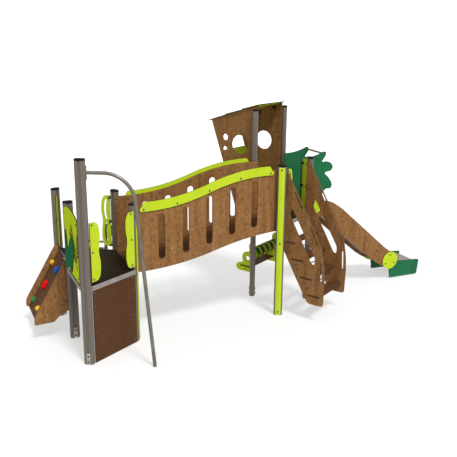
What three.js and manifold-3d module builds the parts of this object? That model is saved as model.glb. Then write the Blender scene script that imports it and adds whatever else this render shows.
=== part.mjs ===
// Modular play structure with a rock climbing wall, on a hexagonal post grid.
// Units are millimetres, +Z is up, +X runs along the bridge towards the slide.
import * as THREE from 'three';
import { mergeVertices } from 'three/addons/utils/BufferGeometryUtils.js';
import Module from 'manifold-3d';

const wasm = await Module();
wasm.setup();

// ---- driving dimensions -------------------------------------------------
const GRID = 740;                 // side of the hexagonal grid, post to post
const BRIDGE = 1905;              // post to post along the bridge
const STEP = 300;                 // height module
const LOW_DECK = 3 * STEP;
const HIGH_DECK = 4 * STEP;
const LOW_POST = 1650;
const STAIR_POST = 1950;
const TALL_POST = 2250;
const CABIN_POST = 2550;

const POST_LENGTH = 110;          // post section along its long axis
const POST_WIDTH = 70;
const POST_CHAMFER = 18;
const GROOVE_WIDTH = 24;
const GROOVE_DEPTH = 10;
const POST_WALL = 5;

const BOARD = 19;                 // high pressure laminate, structural panels
const SHEET = 13;                 // high pressure laminate, guards and infill
const TUBE = 40;                  // outer diameter of the steel tubes
const FACE_OFFSET = 50;           // post centre line to the outer infill panels
const DECK_EDGE = 55;             // height of the steel deck edge
const GAP = 1;                    // clearance kept round the posts

const rad = THREE.MathUtils.degToRad;
const COS30 = Math.cos(rad(30));

// ---- post grid ----------------------------------------------------------
const HALF = GRID / 2;
const WEST = GRID * COS30;
const EAST = WEST + BRIDGE;
const FAR_EAST = EAST + GRID * COS30;
const POSTS = {
  post_fire_pole: { x: 0, y: 0, height: TALL_POST, turn: -30 },
  post_wall_near: { x: 0, y: GRID, height: LOW_POST, turn: 0 },
  post_wall_far: { x: 0, y: 2 * GRID, height: LOW_POST, turn: 30 },
  post_bridge_low_near: { x: WEST, y: HALF, height: LOW_POST, turn: 60 },
  post_bridge_low_far: { x: WEST, y: 3 * HALF, height: LOW_POST, turn: 120 },
  post_stair: { x: EAST, y: HALF, height: STAIR_POST, turn: -30 },
  post_cabin_near: { x: EAST, y: 3 * HALF, height: CABIN_POST, turn: 60 },
  post_cabin_far: { x: FAR_EAST, y: 2 * GRID, height: CABIN_POST, turn: 60 },
  post_slide: { x: FAR_EAST, y: GRID, height: STAIR_POST, turn: 60 },
};

// ---- materials ----------------------------------------------------------
const finish = (color, roughness, metalness = 0) => (
  new THREE.MeshStandardMaterial({ color, roughness, metalness })
);
const woodLook = finish('#8f6840', 0.55);
const darkBrown = finish('#5c3f2e', 0.6);
const lime = finish('#c4dc30', 0.45);
const leafGreen = finish('#2f764c', 0.45);
const postPaint = finish('#7d7468', 0.5, 0.5);
const galvanised = finish('#a79f98', 0.45, 0.7);
const stainless = finish('#b4afa9', 0.3, 0.9);
const holdColours = {
  yellow: finish('#f0b818', 0.7),
  blue: finish('#1763c0', 0.7),
  red: finish('#e01010', 0.7),
  green: finish('#2c8048', 0.7),
};

// ---- solids -------------------------------------------------------------
const structure = new THREE.Group();

function toSolid(geometry) {
  const bare = geometry.index ? geometry.toNonIndexed() : geometry.clone();
  for (const name of Object.keys(bare.attributes)) {
    if (name !== 'position') bare.deleteAttribute(name);
  }
  const merged = mergeVertices(bare, 1e-3);
  return new wasm.Manifold(new wasm.Mesh({
    numProp: 3,
    vertProperties: new Float32Array(merged.attributes.position.array),
    triVerts: new Uint32Array(merged.index.array),
  }));
}

function toGeometry(solid) {
  const mesh = solid.getMesh();
  const geometry = new THREE.BufferGeometry();
  const points = new Float32Array(mesh.vertProperties);
  geometry.setAttribute('position', new THREE.BufferAttribute(points, 3));
  geometry.setIndex(new THREE.BufferAttribute(new Uint32Array(mesh.triVerts), 1));
  geometry.computeVertexNormals();
  return geometry;
}

function join(geometries) {
  return toGeometry(geometries.map(toSolid).reduce((whole, piece) => whole.add(piece)));
}

function cut(geometry, tools) {
  const start = toSolid(geometry);
  return toGeometry(tools.map(toSolid).reduce((rest, tool) => rest.subtract(tool), start));
}

function addNode(name, geometry, material, place = {}) {
  const mesh = new THREE.Mesh(geometry, material);
  mesh.name = name;
  mesh.position.set(place.x ?? 0, place.y ?? 0, place.z ?? 0);
  mesh.rotation.set(0, 0, rad(place.turn ?? 0));
  structure.add(mesh);
  return mesh;
}

// Extrudes a flat shape upwards.
function prism(shape, low, high, curveSegments = 8) {
  const geometry = new THREE.ExtrudeGeometry(shape, {
    depth: high - low,
    bevelEnabled: false,
    curveSegments,
  });
  return geometry.translate(0, 0, low);
}

// Stands a flat shape upright: its x stays along X, its y becomes Z, and its
// thickness lies evenly on both sides of the plane Y = offset.
function upright(shape, thickness, offset = 0, curveSegments = 8) {
  const geometry = new THREE.ExtrudeGeometry(shape, {
    depth: thickness,
    bevelEnabled: false,
    curveSegments,
  });
  geometry.translate(0, 0, -thickness / 2);
  return geometry.rotateX(Math.PI / 2).translate(0, offset, 0);
}

function tube(curve, diameter, steps, sides = 12) {
  const ring = new THREE.Shape();
  ring.absarc(0, 0, diameter / 2, 0, 2 * Math.PI);
  return new THREE.ExtrudeGeometry(ring, {
    steps,
    extrudePath: curve,
    curveSegments: sides,
    bevelEnabled: false,
  });
}

// A rod between two points.
function rod(from, to, diameter, sides = 12) {
  const axis = new THREE.Vector3().subVectors(to, from);
  const geometry = new THREE.CylinderGeometry(diameter / 2, diameter / 2, axis.length(), sides);
  const middle = new THREE.Vector3().addVectors(from, to).multiplyScalar(0.5);
  const turn = new THREE.Quaternion();
  turn.setFromUnitVectors(new THREE.Vector3(0, 1, 0), axis.normalize());
  return geometry.applyQuaternion(turn).translate(middle.x, middle.y, middle.z);
}

function box(lowX, highX, lowY, highY, lowZ, highZ) {
  const geometry = new THREE.BoxGeometry(highX - lowX, highY - lowY, highZ - lowZ);
  return geometry.translate((lowX + highX) / 2, (lowY + highY) / 2, (lowZ + highZ) / 2);
}

// ---- flat shapes --------------------------------------------------------
// A closed outline whose corners are rounded; each point is [x, y, radius].
function rounded(points, Kind = THREE.Shape) {
  const shape = new Kind();
  const count = points.length;
  points.forEach(([x, y, radius = 0], index) => {
    const corner = new THREE.Vector2(x, y);
    if (radius === 0) {
      if (index === 0) shape.moveTo(x, y);
      else shape.lineTo(x, y);
      return;
    }
    const [px, py] = points[(index + count - 1) % count];
    const [nx, ny] = points[(index + 1) % count];
    const before = new THREE.Vector2(px - x, py - y).setLength(radius).add(corner);
    const after = new THREE.Vector2(nx - x, ny - y).setLength(radius).add(corner);
    if (index === 0) shape.moveTo(before.x, before.y);
    else shape.lineTo(before.x, before.y);
    shape.quadraticCurveTo(x, y, after.x, after.y);
  });
  shape.closePath();
  return shape;
}

function circle(x, y, radius, Kind = THREE.Path) {
  const path = new Kind();
  path.absarc(x, y, radius, 0, 2 * Math.PI);
  return path;
}

// A slot with round ends between two points.
function slot(x1, y1, x2, y2, width) {
  const along = Math.atan2(y2 - y1, x2 - x1);
  const path = new THREE.Path();
  path.absarc(x2, y2, width / 2, along - Math.PI / 2, along + Math.PI / 2);
  path.absarc(x1, y1, width / 2, along + Math.PI / 2, along + 1.5 * Math.PI);
  path.closePath();
  return path;
}

// ---- posts --------------------------------------------------------------
// An elongated octagon with a groove down each broad face.
function postOutline(grow = 0) {
  const a = POST_LENGTH / 2 + grow;
  const b = POST_WIDTH / 2 + grow;
  const c = POST_CHAMFER + grow * 0.6;
  const w = GROOVE_WIDTH / 2;
  const groove = (side) => (grow > 0 ? [] : [
    [side * w, side * b], [side * w, side * (b - GROOVE_DEPTH)],
    [-side * w, side * (b - GROOVE_DEPTH)], [-side * w, side * b],
  ]);
  const corners = [
    [a, -b + c], [a, b - c], [a - c, b], ...groove(1),
    [-a + c, b], [-a, b - c], [-a, -b + c], [-a + c, -b], ...groove(-1), [a - c, -b],
  ];
  return new THREE.Shape(corners.map(([x, y]) => new THREE.Vector2(x, y)));
}

function hollowPost() {
  const shape = postOutline();
  const a = POST_LENGTH / 2 - POST_WALL;
  const b = POST_WIDTH / 2 - GROOVE_DEPTH - POST_WALL;
  const c = POST_CHAMFER / 2;
  const bore = [
    [a, -b + c], [a, b - c], [a - c, b], [-a + c, b],
    [-a, b - c], [-a, -b + c], [-a + c, -b], [a - c, -b],
  ];
  shape.holes.push(new THREE.Path(bore.map(([x, y]) => new THREE.Vector2(x, y))));
  return shape;
}

function makePosts() {
  for (const [name, post] of Object.entries(POSTS)) {
    addNode(name, prism(hollowPost(), 0, post.height), postPaint, post);
  }
}

// The room that each post needs, for pieces that are notched round the posts.
function postEnvelopes() {
  return Object.values(POSTS).map((post) => (
    prism(postOutline(GAP), -STEP, CABIN_POST + STEP)
      .rotateZ(rad(post.turn))
      .translate(post.x, post.y, 0)
  ));
}

// ---- decks --------------------------------------------------------------
// A deck is a board on a steel edge frame with cross joists. Its outline runs
// from post to post; each side is moved outwards by its own offset.
const DECK_BOARD = 12;
const RIM = 95;
const CORNER = 41;
const BRIDGE_SEAT = 20;           // the bridge reaches this far inside the post lines

const postPoint = (name) => new THREE.Vector2(POSTS[name].x, POSTS[name].y);

function deckOutline(sides) {
  const outline = [];
  for (const { from, to, out, inset = CORNER, bay = 0 } of sides) {
    const start = postPoint(from);
    const along = postPoint(to).sub(start).normalize();
    const outward = new THREE.Vector2(along.y, -along.x);
    const place = (distance, offset) => (
      start.clone().addScaledVector(along, distance).addScaledVector(outward, offset)
    );
    outline.push(start, place(inset, out));
    if (bay > 0) outline.push(place(inset, bay), place(GRID - inset, bay));
    outline.push(place(GRID - inset, out));
  }
  return outline;
}

function deckGeometry(sides, top, joists) {
  const corners = sides.map(({ from }) => postPoint(from));
  const centre = corners.reduce((sum, p) => sum.add(p), new THREE.Vector2());
  centre.divideScalar(corners.length);
  const outline = deckOutline(sides);
  const ring = new THREE.Shape(outline);
  const inner = sides.map(({ from }) => {
    const corner = postPoint(from);
    return corner.add(centre.clone().sub(corner).setLength(RIM));
  });
  ring.holes.push(new THREE.Path(inner));
  const pieces = [
    prism(ring, top - DECK_EDGE, top),
    prism(new THREE.Shape(outline), top - DECK_BOARD, top),
    ...joists,
  ];
  return cut(join(pieces), postEnvelopes());
}

function makeDecks() {
  const beam = (y) => (
    box(20, WEST - BRIDGE_SEAT - 4, y - 20, y + 20, LOW_DECK - DECK_EDGE, LOW_DECK - DECK_BOARD / 2)
  );
  const wide = FACE_OFFSET + 8;
  const low = [
    { from: 'post_fire_pole', to: 'post_bridge_low_near', out: wide },
    { from: 'post_bridge_low_near', to: 'post_bridge_low_far', out: -BRIDGE_SEAT },
    { from: 'post_bridge_low_far', to: 'post_wall_far', out: 0 },
    { from: 'post_wall_far', to: 'post_wall_near', out: -8 },
    { from: 'post_wall_near', to: 'post_fire_pole', out: wide },
  ];
  addNode('deck_low', deckGeometry(low, LOW_DECK, [beam(0.75 * GRID), beam(1.25 * GRID)]), galvanised);

  const high = [
    { from: 'post_stair', to: 'post_slide', out: -20 },
    { from: 'post_slide', to: 'post_cabin_far', out: 30 },
    { from: 'post_cabin_far', to: 'post_cabin_near', out: 0, inset: 78, bay: 300 },
    { from: 'post_cabin_near', to: 'post_stair', out: -BRIDGE_SEAT },
  ];
  const joist = box(-HALF * 0.9, HALF * 0.9, -20, 20, HIGH_DECK - DECK_EDGE, HIGH_DECK - DECK_BOARD / 2)
    .rotateZ(rad(30))
    .translate((EAST + FAR_EAST) / 2, 1.25 * GRID, 0);
  addNode('deck_high', deckGeometry(high, HIGH_DECK, [joist]), galvanised);
}

// ---- infill on the outer edges of the low tower --------------------------
const GUARD_HEIGHT = 645;
const WALL_LIFT = 6;              // the wall under the deck stops just above the ground

// Two lobes on the free side, straight on the post side.
function peanut({ width, waist }) {
  const shape = new THREE.Shape();
  const lobe = GUARD_HEIGHT / 4;
  const top = GUARD_HEIGHT;
  shape.moveTo(0, 0);
  shape.lineTo(width * 0.45, 0);
  shape.bezierCurveTo(width * 0.95, 0, width, lobe * 0.6, width, lobe * 1.05);
  shape.bezierCurveTo(width, lobe * 1.5, waist, lobe * 1.6, waist, lobe * 2);
  shape.bezierCurveTo(waist, lobe * 2.4, width, lobe * 2.5, width, lobe * 2.95);
  shape.bezierCurveTo(width, lobe * 3.4, width * 0.95, top, width * 0.45, top);
  shape.lineTo(0, top);
  shape.closePath();
  return shape;
}

function makeEdgeInfill() {
  const start = 41;
  const end = GRID - 43;
  const edge = { turn: 30 };
  const wall = new THREE.Shape();
  wall.moveTo(start, WALL_LIFT);
  wall.lineTo(end, WALL_LIFT);
  wall.lineTo(end, LOW_DECK - DECK_EDGE - 3);
  wall.lineTo(start, LOW_DECK - DECK_EDGE - 3);
  wall.closePath();
  addNode('under_deck_wall', upright(wall, SHEET, -FACE_OFFSET), darkBrown, edge);

  const guardBase = LOW_DECK + 40;
  const guard = upright(peanut({ width: 134, waist: 115 }), SHEET, -FACE_OFFSET, 6);
  addNode('guard_pole_post', guard.clone().translate(start, 0, guardBase), lime, edge);
  const mirrored = guard.clone().rotateY(Math.PI).translate(end, 0, guardBase + GUARD_HEIGHT);
  addNode('guard_bridge_post', mirrored, lime, edge);

  const panelEnd = GRID - 36;
  const panelTop = 1600;
  const panelRise = 60;
  const panel = new THREE.Shape();
  panel.moveTo(start, LOW_DECK + 15);
  panel.lineTo(panelEnd, LOW_DECK + 15);
  panel.lineTo(panelEnd, panelTop);
  panel.quadraticCurveTo((start + panelEnd) / 2, panelTop + 2 * panelRise, start, panelTop);
  panel.closePath();
  addNode('play_panel', upright(panel, SHEET, FACE_OFFSET, 12), lime, { turn: 90 });
}

// ---- fireman's pole -------------------------------------------------------
// A circular bend between two straight runs that meet at a corner.
const BEND_PULL = 0.566;          // where the curve's handles lie on a right-angle bend

function bend(from, corner, to) {
  const handle = (end) => end.clone().lerp(corner, BEND_PULL);
  return new THREE.CubicBezierCurve3(from, handle(from), handle(to), to);
}

const POLE_TOP = 2121;
const POLE_REACH = 534;           // where the level run and the pole would meet
const POLE_FOOT = 723;
const POLE_BEND = 292;            // the bend starts this far from the corner
const POLE_PLATE = 8;

function makeFirePole() {
  const start = POST_LENGTH / 2 + GAP;
  const point = (x, z) => new THREE.Vector3(x, 0, z);
  const head = point(start + POLE_PLATE / 2, POLE_TOP);
  const corner = point(POLE_REACH, POLE_TOP);
  const foot = point(POLE_FOOT, 3);
  const bendStart = corner.clone().setX(corner.x - POLE_BEND);
  const bendEnd = foot.clone().sub(corner).setLength(POLE_BEND).add(corner);
  const path = new THREE.CurvePath();
  path.add(new THREE.LineCurve3(head, bendStart));
  path.add(bend(bendStart, corner, bendEnd));
  path.add(new THREE.LineCurve3(bendEnd, foot));
  const plate = box(start, start + POLE_PLATE, -14, 14, POLE_TOP - 75, POLE_TOP + 75);
  const pole = join([tube(path, TUBE, 60), plate]);
  addNode('fire_pole', pole, galvanised, { turn: -30 });
}

// ---- rock climbing wall ---------------------------------------------------
const WALL_SLOPE = 59.5;          // degrees from the ground
const WALL_FOOT_X = 423;
const WALL_FOOT_Z = 205;
const WALL_NEAR = -320;           // planes of the cheeks, from the middle of the edge
const WALL_FAR = 310;
const WALL_MIDDLE = 1.5 * GRID;
const wallRise = new THREE.Vector2(Math.cos(rad(WALL_SLOPE)), Math.sin(rad(WALL_SLOPE)));

function cheekShape() {
  return rounded([
    [16, 960, 12], [52, 968, 10], [445, 300, 30], [452, 203, 26],
    [225, 213, 22], [140, 297, 30], [16, 345, 12],
  ]);
}

// One moulded hold: a faceted cap on a round foot, slightly squashed.
function holdGeometry({ length, width, height, lump }) {
  const geometry = new THREE.IcosahedronGeometry(1, 2);
  const spots = geometry.attributes.position;
  const spot = new THREE.Vector3();
  for (let index = 0; index < spots.count; index += 1) {
    spot.fromBufferAttribute(spots, index);
    const wave = 1 + lump * Math.sin(3 * spot.x + 1) * Math.cos(4 * spot.y) * (spot.z + 1);
    spot.set(spot.x * wave * length / 2, spot.y * wave * width / 2, spot.z * height);
    spots.setXYZ(index, spot.x, spot.y, Math.max(spot.z, 0));
  }
  return geometry;
}

function makeClimbingWall() {
  // Cheeks lie in planes of constant Y and reach out towards -X.
  const cheek = upright(cheekShape(), BOARD).rotateZ(Math.PI);
  const offsets = { climb_cheek_near: WALL_NEAR, climb_cheek_far: WALL_FAR };
  for (const [name, offset] of Object.entries(offsets)) {
    addNode(name, cheek.clone(), woodLook, { y: WALL_MIDDLE + offset });
  }

  const nearFace = WALL_NEAR + BOARD / 2 + GAP / 2;
  const farFace = WALL_FAR - BOARD / 2 - GAP / 2;
  const boardLength = (LOW_DECK - 20 - WALL_FOOT_Z) / wallRise.y;
  const boardHolder = new THREE.Group();
  boardHolder.position.set(-WALL_FOOT_X, WALL_MIDDLE, WALL_FOOT_Z);
  boardHolder.rotation.set(0, -rad(WALL_SLOPE), 0);
  structure.add(boardHolder);
  const onBoard = (name, geometry, material) => {
    const mesh = new THREE.Mesh(geometry, material);
    mesh.name = name;
    boardHolder.add(mesh);
    return mesh;
  };
  onBoard('climb_board', box(0, boardLength, nearFace, farFace, -BOARD, 0), darkBrown);

  // Places on the board: distance up the slope and distance across.
  const holds = [
    { name: 'hold_yellow_top', up: 634, across: 252, length: 76, width: 68, height: 42, lump: 0.1 },
    { name: 'hold_blue', up: 630, across: -45, length: 106, width: 84, height: 46, lump: 0.16 },
    { name: 'hold_red', up: 374, across: 90, length: 150, width: 88, height: 50, lump: 0.12 },
    { name: 'hold_green', up: 119, across: 231, length: 92, width: 66, height: 40, lump: 0.06 },
    { name: 'hold_yellow_low', up: 116, across: -69, length: 80, width: 58, height: 38, lump: 0.06 },
  ];
  for (const hold of holds) {
    const colour = holdColours[hold.name.split('_')[1]];
    const geometry = toGeometry(toSolid(holdGeometry(hold)));
    const mesh = onBoard(hold.name, geometry, colour);
    mesh.position.set(hold.up, hold.across, 0.3);
  }
}

// ---- arched ladder on the far edge of the low tower ----------------------
const ARCH_REACH = 620;           // how far the feet stand out from the tower
const ARCH_GAUGE = 420;           // between the two side tubes
const ARCH_HEAD = 95;
const ARCH_RUNG = 28;

function makeArchClimber() {
  const shoulder = LOW_DECK + 150;
  const point = (across, out, up) => new THREE.Vector3(across, out, up);
  const rail = (across) => {
    const path = new THREE.CurvePath();
    const top = point(across, ARCH_HEAD, shoulder);
    const knee = point(across, ARCH_REACH - 60, LOW_DECK - 250);
    path.add(new THREE.LineCurve3(point(across, ARCH_HEAD, LOW_DECK - 30), top));
    path.add(new THREE.CubicBezierCurve3(
      top,
      point(across, ARCH_HEAD + 20, shoulder + 230),
      point(across, ARCH_REACH - 150, shoulder + 80),
      knee,
    ));
    path.add(new THREE.LineCurve3(knee, point(across, ARCH_REACH, 2)));
    return tube(path, TUBE, 40, 10);
  };
  const side = ARCH_GAUGE / 2;
  const rung = (out, up) => (
    rod(point(-side, out, up), point(side, out, up), ARCH_RUNG, 10)
  );
  const rungs = [[600, 225], [577, 430], [545, 640], [470, 850]].map(([out, up]) => rung(out, up));
  const stay = rung(ARCH_HEAD, LOW_DECK - 20);
  const ladder = join([rail(-side), rail(side), ...rungs, stay]);
  addNode('arch_climber', ladder, galvanised, { x: WEST / 2, y: 1.75 * GRID, turn: -30 });
}

// ---- slotted handles ------------------------------------------------------
function handleShape() {
  const shape = peanut({ width: 112, waist: 98 });
  const lobe = GUARD_HEIGHT / 4;
  const left = 40;
  const right = 64;
  const bow = 30;
  for (const middle of [lobe * 1.08, lobe * 2.92]) {
    const low = middle - lobe * 0.74;
    const high = middle + lobe * 0.74;
    const hole = new THREE.Path();
    hole.moveTo(left, low);
    hole.quadraticCurveTo((left + right) / 2, low - 16, right, low);
    hole.quadraticCurveTo(right + bow, middle, right, high);
    hole.quadraticCurveTo((left + right) / 2, high + 16, left, high);
    hole.quadraticCurveTo(left + bow, middle, left, low);
    shape.holes.push(hole);
  }
  return shape;
}

function makeHandles() {
  const handle = upright(handleShape(), SHEET, 0, 6);
  const places = {
    handle_climb: { post: 'post_wall_far', turn: -90, start: 52, deck: LOW_DECK },
    handle_ladder: { post: 'post_bridge_low_far', turn: 150, start: 59, deck: LOW_DECK },
    handle_stair: { post: 'post_stair', turn: 30, start: 134, deck: HIGH_DECK },
  };
  for (const [name, { post, turn, start, deck }] of Object.entries(places)) {
    const { x, y } = POSTS[post];
    const geometry = handle.clone().translate(start, 0, deck + 45);
    addNode(name, geometry, lime, { x, y, turn });
  }
}

// ---- bridge ---------------------------------------------------------------
// The side panels stand on the inner faces of the posts. Their top and slots
// follow one curve, their lower edge and the walking surface a gentler one.
const BRIDGE_INSET = 66;          // post centre line to the middle of a side panel
const PANEL_REACH = 13;           // the panels end this far past the post centres
const PANEL_LOW = -83;
const PANEL_HIGH = 695;
const RAIL_LOW = 635;
const RAIL_TAB = 685;
const RAIL_HIGH = 746;
const SLOT_PITCH = 301;
const SLOT_WIDTH = 84;
const SLOT_LOW = 26;
const SLOT_HIGH = 590;

// Rises by one height step, half of it curving up and half curving over.
function rise(x, start, length) {
  const t = THREE.MathUtils.clamp((x - start) / length, 0, 1);
  return STEP * (t < 0.5 ? 2 * t * t : 1 - 2 * (1 - t) * (1 - t));
}
const upperCurve = (x) => LOW_DECK + rise(x, 152, 1600);
const lowerCurve = (x) => LOW_DECK + rise(x, 60, 2000);

// The points of a curve from one x to another, raised by an offset.
function follow(curve, from, to, offset, steps = 24) {
  const points = [];
  for (let index = 0; index <= steps; index += 1) {
    const x = from + (to - from) * index / steps;
    points.push(new THREE.Vector2(x, curve(x) + offset));
  }
  return points;
}

function bridgePanelShape() {
  const from = -PANEL_REACH;
  const to = BRIDGE + PANEL_REACH;
  const shape = new THREE.Shape([
    ...follow(lowerCurve, from, to, PANEL_LOW),
    ...follow(upperCurve, to, from, PANEL_HIGH),
  ]);
  const inset = SLOT_WIDTH / 2;
  for (let index = -2; index <= 2; index += 1) {
    const x = BRIDGE / 2 + 10 + index * SLOT_PITCH;
    const low = lowerCurve(x) + SLOT_LOW + inset;
    const high = upperCurve(x) + SLOT_HIGH - inset;
    shape.holes.push(slot(x, low, x, high, SLOT_WIDTH));
  }
  return shape;
}

function bridgeRailShape() {
  const ends = [110, BRIDGE - 100];
  const shoulders = [ends[0] + 48, ends[1] - 52];
  const shape = new THREE.Shape();
  const trace = (points) => points.forEach(({ x, y }) => shape.lineTo(x, y));
  const low = (x) => upperCurve(x) + RAIL_LOW;
  const tab = (x) => upperCurve(x) + RAIL_TAB;
  const high = (x) => upperCurve(x) + RAIL_HIGH;
  shape.moveTo(ends[0], low(ends[0]));
  trace(follow(upperCurve, ends[0], ends[1], RAIL_LOW));
  shape.quadraticCurveTo(ends[1] + 22, low(ends[1]) + 25, ends[1], tab(ends[1]));
  shape.bezierCurveTo(
    shoulders[1] + 25, tab(shoulders[1]), shoulders[1] + 35, high(shoulders[1]),
    shoulders[1] - 10, high(shoulders[1]),
  );
  trace(follow(upperCurve, shoulders[1] - 30, shoulders[0] + 30, RAIL_HIGH));
  shape.lineTo(shoulders[0] + 10, high(shoulders[0]));
  shape.bezierCurveTo(
    shoulders[0] - 35, high(shoulders[0]), shoulders[0] - 25, tab(shoulders[0]),
    ends[0], tab(ends[0]),
  );
  shape.quadraticCurveTo(ends[0] - 22, low(ends[0]) + 25, ends[0], low(ends[0]));
  return shape;
}

function makeBridge() {
  const panel = upright(bridgePanelShape(), BOARD);
  const rail = upright(bridgeRailShape(), SHEET);
  const railOffset = (BOARD + SHEET) / 2 + 0.5;
  const sides = {
    near: { y: HALF + BRIDGE_INSET, outward: -1 },
    far: { y: 3 * HALF - BRIDGE_INSET, outward: 1 },
  };
  for (const [side, { y, outward }] of Object.entries(sides)) {
    addNode(`bridge_panel_${side}`, panel.clone(), woodLook, { x: WEST, y });
    const at = { x: WEST, y: y + outward * railOffset };
    addNode(`bridge_rail_${side}`, rail.clone(), lime, at);
  }
  const deck = new THREE.Shape([
    ...follow(lowerCurve, 2 - BRIDGE_SEAT, BRIDGE + BRIDGE_SEAT - 2, -22),
    ...follow(lowerCurve, BRIDGE + BRIDGE_SEAT - 2, 2 - BRIDGE_SEAT, 0),
  ]);
  const width = GRID - 2 * BRIDGE_INSET - BOARD - GAP;
  addNode('bridge_deck', upright(deck, width), darkBrown, { x: WEST, y: 2 * HALF });
}

// ---- lookout cabin --------------------------------------------------------
const CABIN_INSET = 67;           // wall centre plane to post centre, along the edge
const CABIN_TILT = 0.3527;        // outward lean of the outer edge, per unit of height
const CABIN_FOOT = 320;           // width of the wall at its lower edge
const CABIN_LOW = 1150;
const ROOF_TOP = 2609;
const ROOF_FALL = 0.312;
const ROOF_BOARDS = 3;
const ROOF_INNER = -20;           // inner and outer ends of the roof, outwards from the posts
const ROOF_OUTER = 792;
const ROOF_OVERLAP = 30;
const ROOF_LIFT = 11;
const ROOF_GAP = 1;
const ROOF_SIDE = 12;             // the roof passes each wall by this much

const cabinEdge = (z) => CABIN_FOOT + (z - CABIN_LOW) * CABIN_TILT;

// The underside of the roof boards, as the inner and outer end of each.
const ROOF_PITCH = (ROOF_OUTER - ROOF_INNER) / ROOF_BOARDS;
const roofBase = (x) => ROOF_TOP - ROOF_FALL * x;

function roofBoard(index) {
  const inner = ROOF_INNER + index * ROOF_PITCH - (index > 0 ? ROOF_OVERLAP : 0);
  const outer = ROOF_INNER + (index + 1) * ROOF_PITCH;
  const lift = index < ROOF_BOARDS - 1 ? ROOF_LIFT : 0;
  const under = (x) => roofBase(x) + lift * (x - inner) / (outer - inner);
  return { inner, outer, under };
}

// The top edges of the walls follow the roof boards like a flat saw.
function cabinWallShape() {
  const top = [];
  for (let index = ROOF_BOARDS - 1; index >= 0; index -= 1) {
    const { inner, under } = roofBoard(index);
    const last = index === ROOF_BOARDS - 1;
    const outer = last ? 738 : roofBoard(index + 1).inner - 1;
    const start = Math.max(inner - 1, 4);
    top.push([outer, under(outer) - ROOF_GAP], [start, under(start) - ROOF_GAP]);
  }
  const shape = rounded([
    [4, CABIN_LOW, 10], [cabinEdge(CABIN_LOW), CABIN_LOW, 30],
    [cabinEdge(2372), 2372], ...top,
  ]);
  shape.holes.push(circle(285, 2072, 130));
  shape.holes.push(circle(521, 2155, 44));
  shape.holes.push(circle(525, 1995, 36));
  shape.holes.push(circle(442, 1883, 22));
  return shape;
}

function makeCabin() {
  const wall = upright(cabinWallShape(), BOARD, 0, 12);
  // Walls run outwards at 120 degrees, set in from the posts along the edge.
  const near = POSTS.post_cabin_near;
  const far = POSTS.post_cabin_far;
  const alongX = Math.cos(rad(30));
  const alongY = Math.sin(rad(30));
  addNode('cabin_wall_near', wall.clone(), woodLook, {
    x: near.x + CABIN_INSET * alongX,
    y: near.y + CABIN_INSET * alongY,
    turn: 120,
  });
  addNode('cabin_wall_far', wall.clone(), woodLook, {
    x: far.x - CABIN_INSET * alongX,
    y: far.y - CABIN_INSET * alongY,
    turn: 120,
  });

  // Pieces that span the two walls, in a frame with x outwards, y across.
  const clear = GRID - 2 * CABIN_INSET - BOARD - GAP;
  const middle = { x: (near.x + far.x) / 2, y: (near.y + far.y) / 2, turn: 120 };
  const frontLow = HIGH_DECK + 6;
  const frontHigh = 1965;
  const inset = 14;
  const front = new THREE.Shape();
  front.moveTo(cabinEdge(frontLow) - inset - SHEET, frontLow);
  front.lineTo(cabinEdge(frontLow) - inset, frontLow);
  front.lineTo(cabinEdge(frontHigh) - inset, frontHigh);
  front.lineTo(cabinEdge(frontHigh) - inset - SHEET, frontHigh);
  front.closePath();
  addNode('cabin_front', upright(front, clear), lime, middle);

  // The roof boards overlap like shingles: each one but the last is lifted at
  // its outer end, where it lies on the next.
  const shingles = [];
  for (let index = 0; index < ROOF_BOARDS; index += 1) {
    const { inner, outer, under } = roofBoard(index);
    const shape = new THREE.Shape();
    shape.moveTo(inner, under(inner));
    shape.lineTo(outer, under(outer));
    shape.lineTo(outer, under(outer) + SHEET);
    shape.lineTo(inner, under(inner) + SHEET);
    shape.closePath();
    shingles.push(upright(shape, clear + 2 * BOARD + 2 * ROOF_SIDE));
  }
  addNode('cabin_roof', join(shingles), lime, middle);
}

// ---- stairs ---------------------------------------------------------------
const STAIR_INSET = 67;           // cheek centre plane to the post centres
const TREAD_RISE = 214.5;
const TREADS = 4;
const TREAD_FIRST = 348;          // top of the lowest tread
const TREAD_FRONT = 560;
const TREAD_GOING = 124;
const TREAD_DEPTH = 168;
const TREAD_THICK = 20;
const TREAD_INNERMOST = 64;       // the treads stay this far out from the post line

function stairCheekShape() {
  const shape = rounded([
    [-18, 1905, 8], [25, 1905, 6], [557, 977, 50], [600, 740, 60], [612, 560],
    [604, 224, 35], [396, 224, 45], [340, 310, 10], [-18, 933, 12],
  ]);
  shape.holes.push(slot(165, 1622, 264, 1434, 26));
  shape.holes.push(slot(394, 1216, 500, 1020, 26));
  shape.holes.push(slot(556, 780, 566, 562, 26));
  shape.holes.push(rounded([
    [94, 1328, 20], [428, 740, 30], [468, 750, 20],
    [472, 838, 30], [196, 1310], [124, 1428, 14],
  ], THREE.Path));
  return shape;
}

// The treads pass through mortises in both cheeks, from the lowest upwards.
function stairTread(index) {
  const top = TREAD_FIRST + index * TREAD_RISE;
  const front = TREAD_FRONT - index * TREAD_GOING;
  return { top, front, back: Math.max(front - TREAD_DEPTH, TREAD_INNERMOST) };
}

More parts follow.
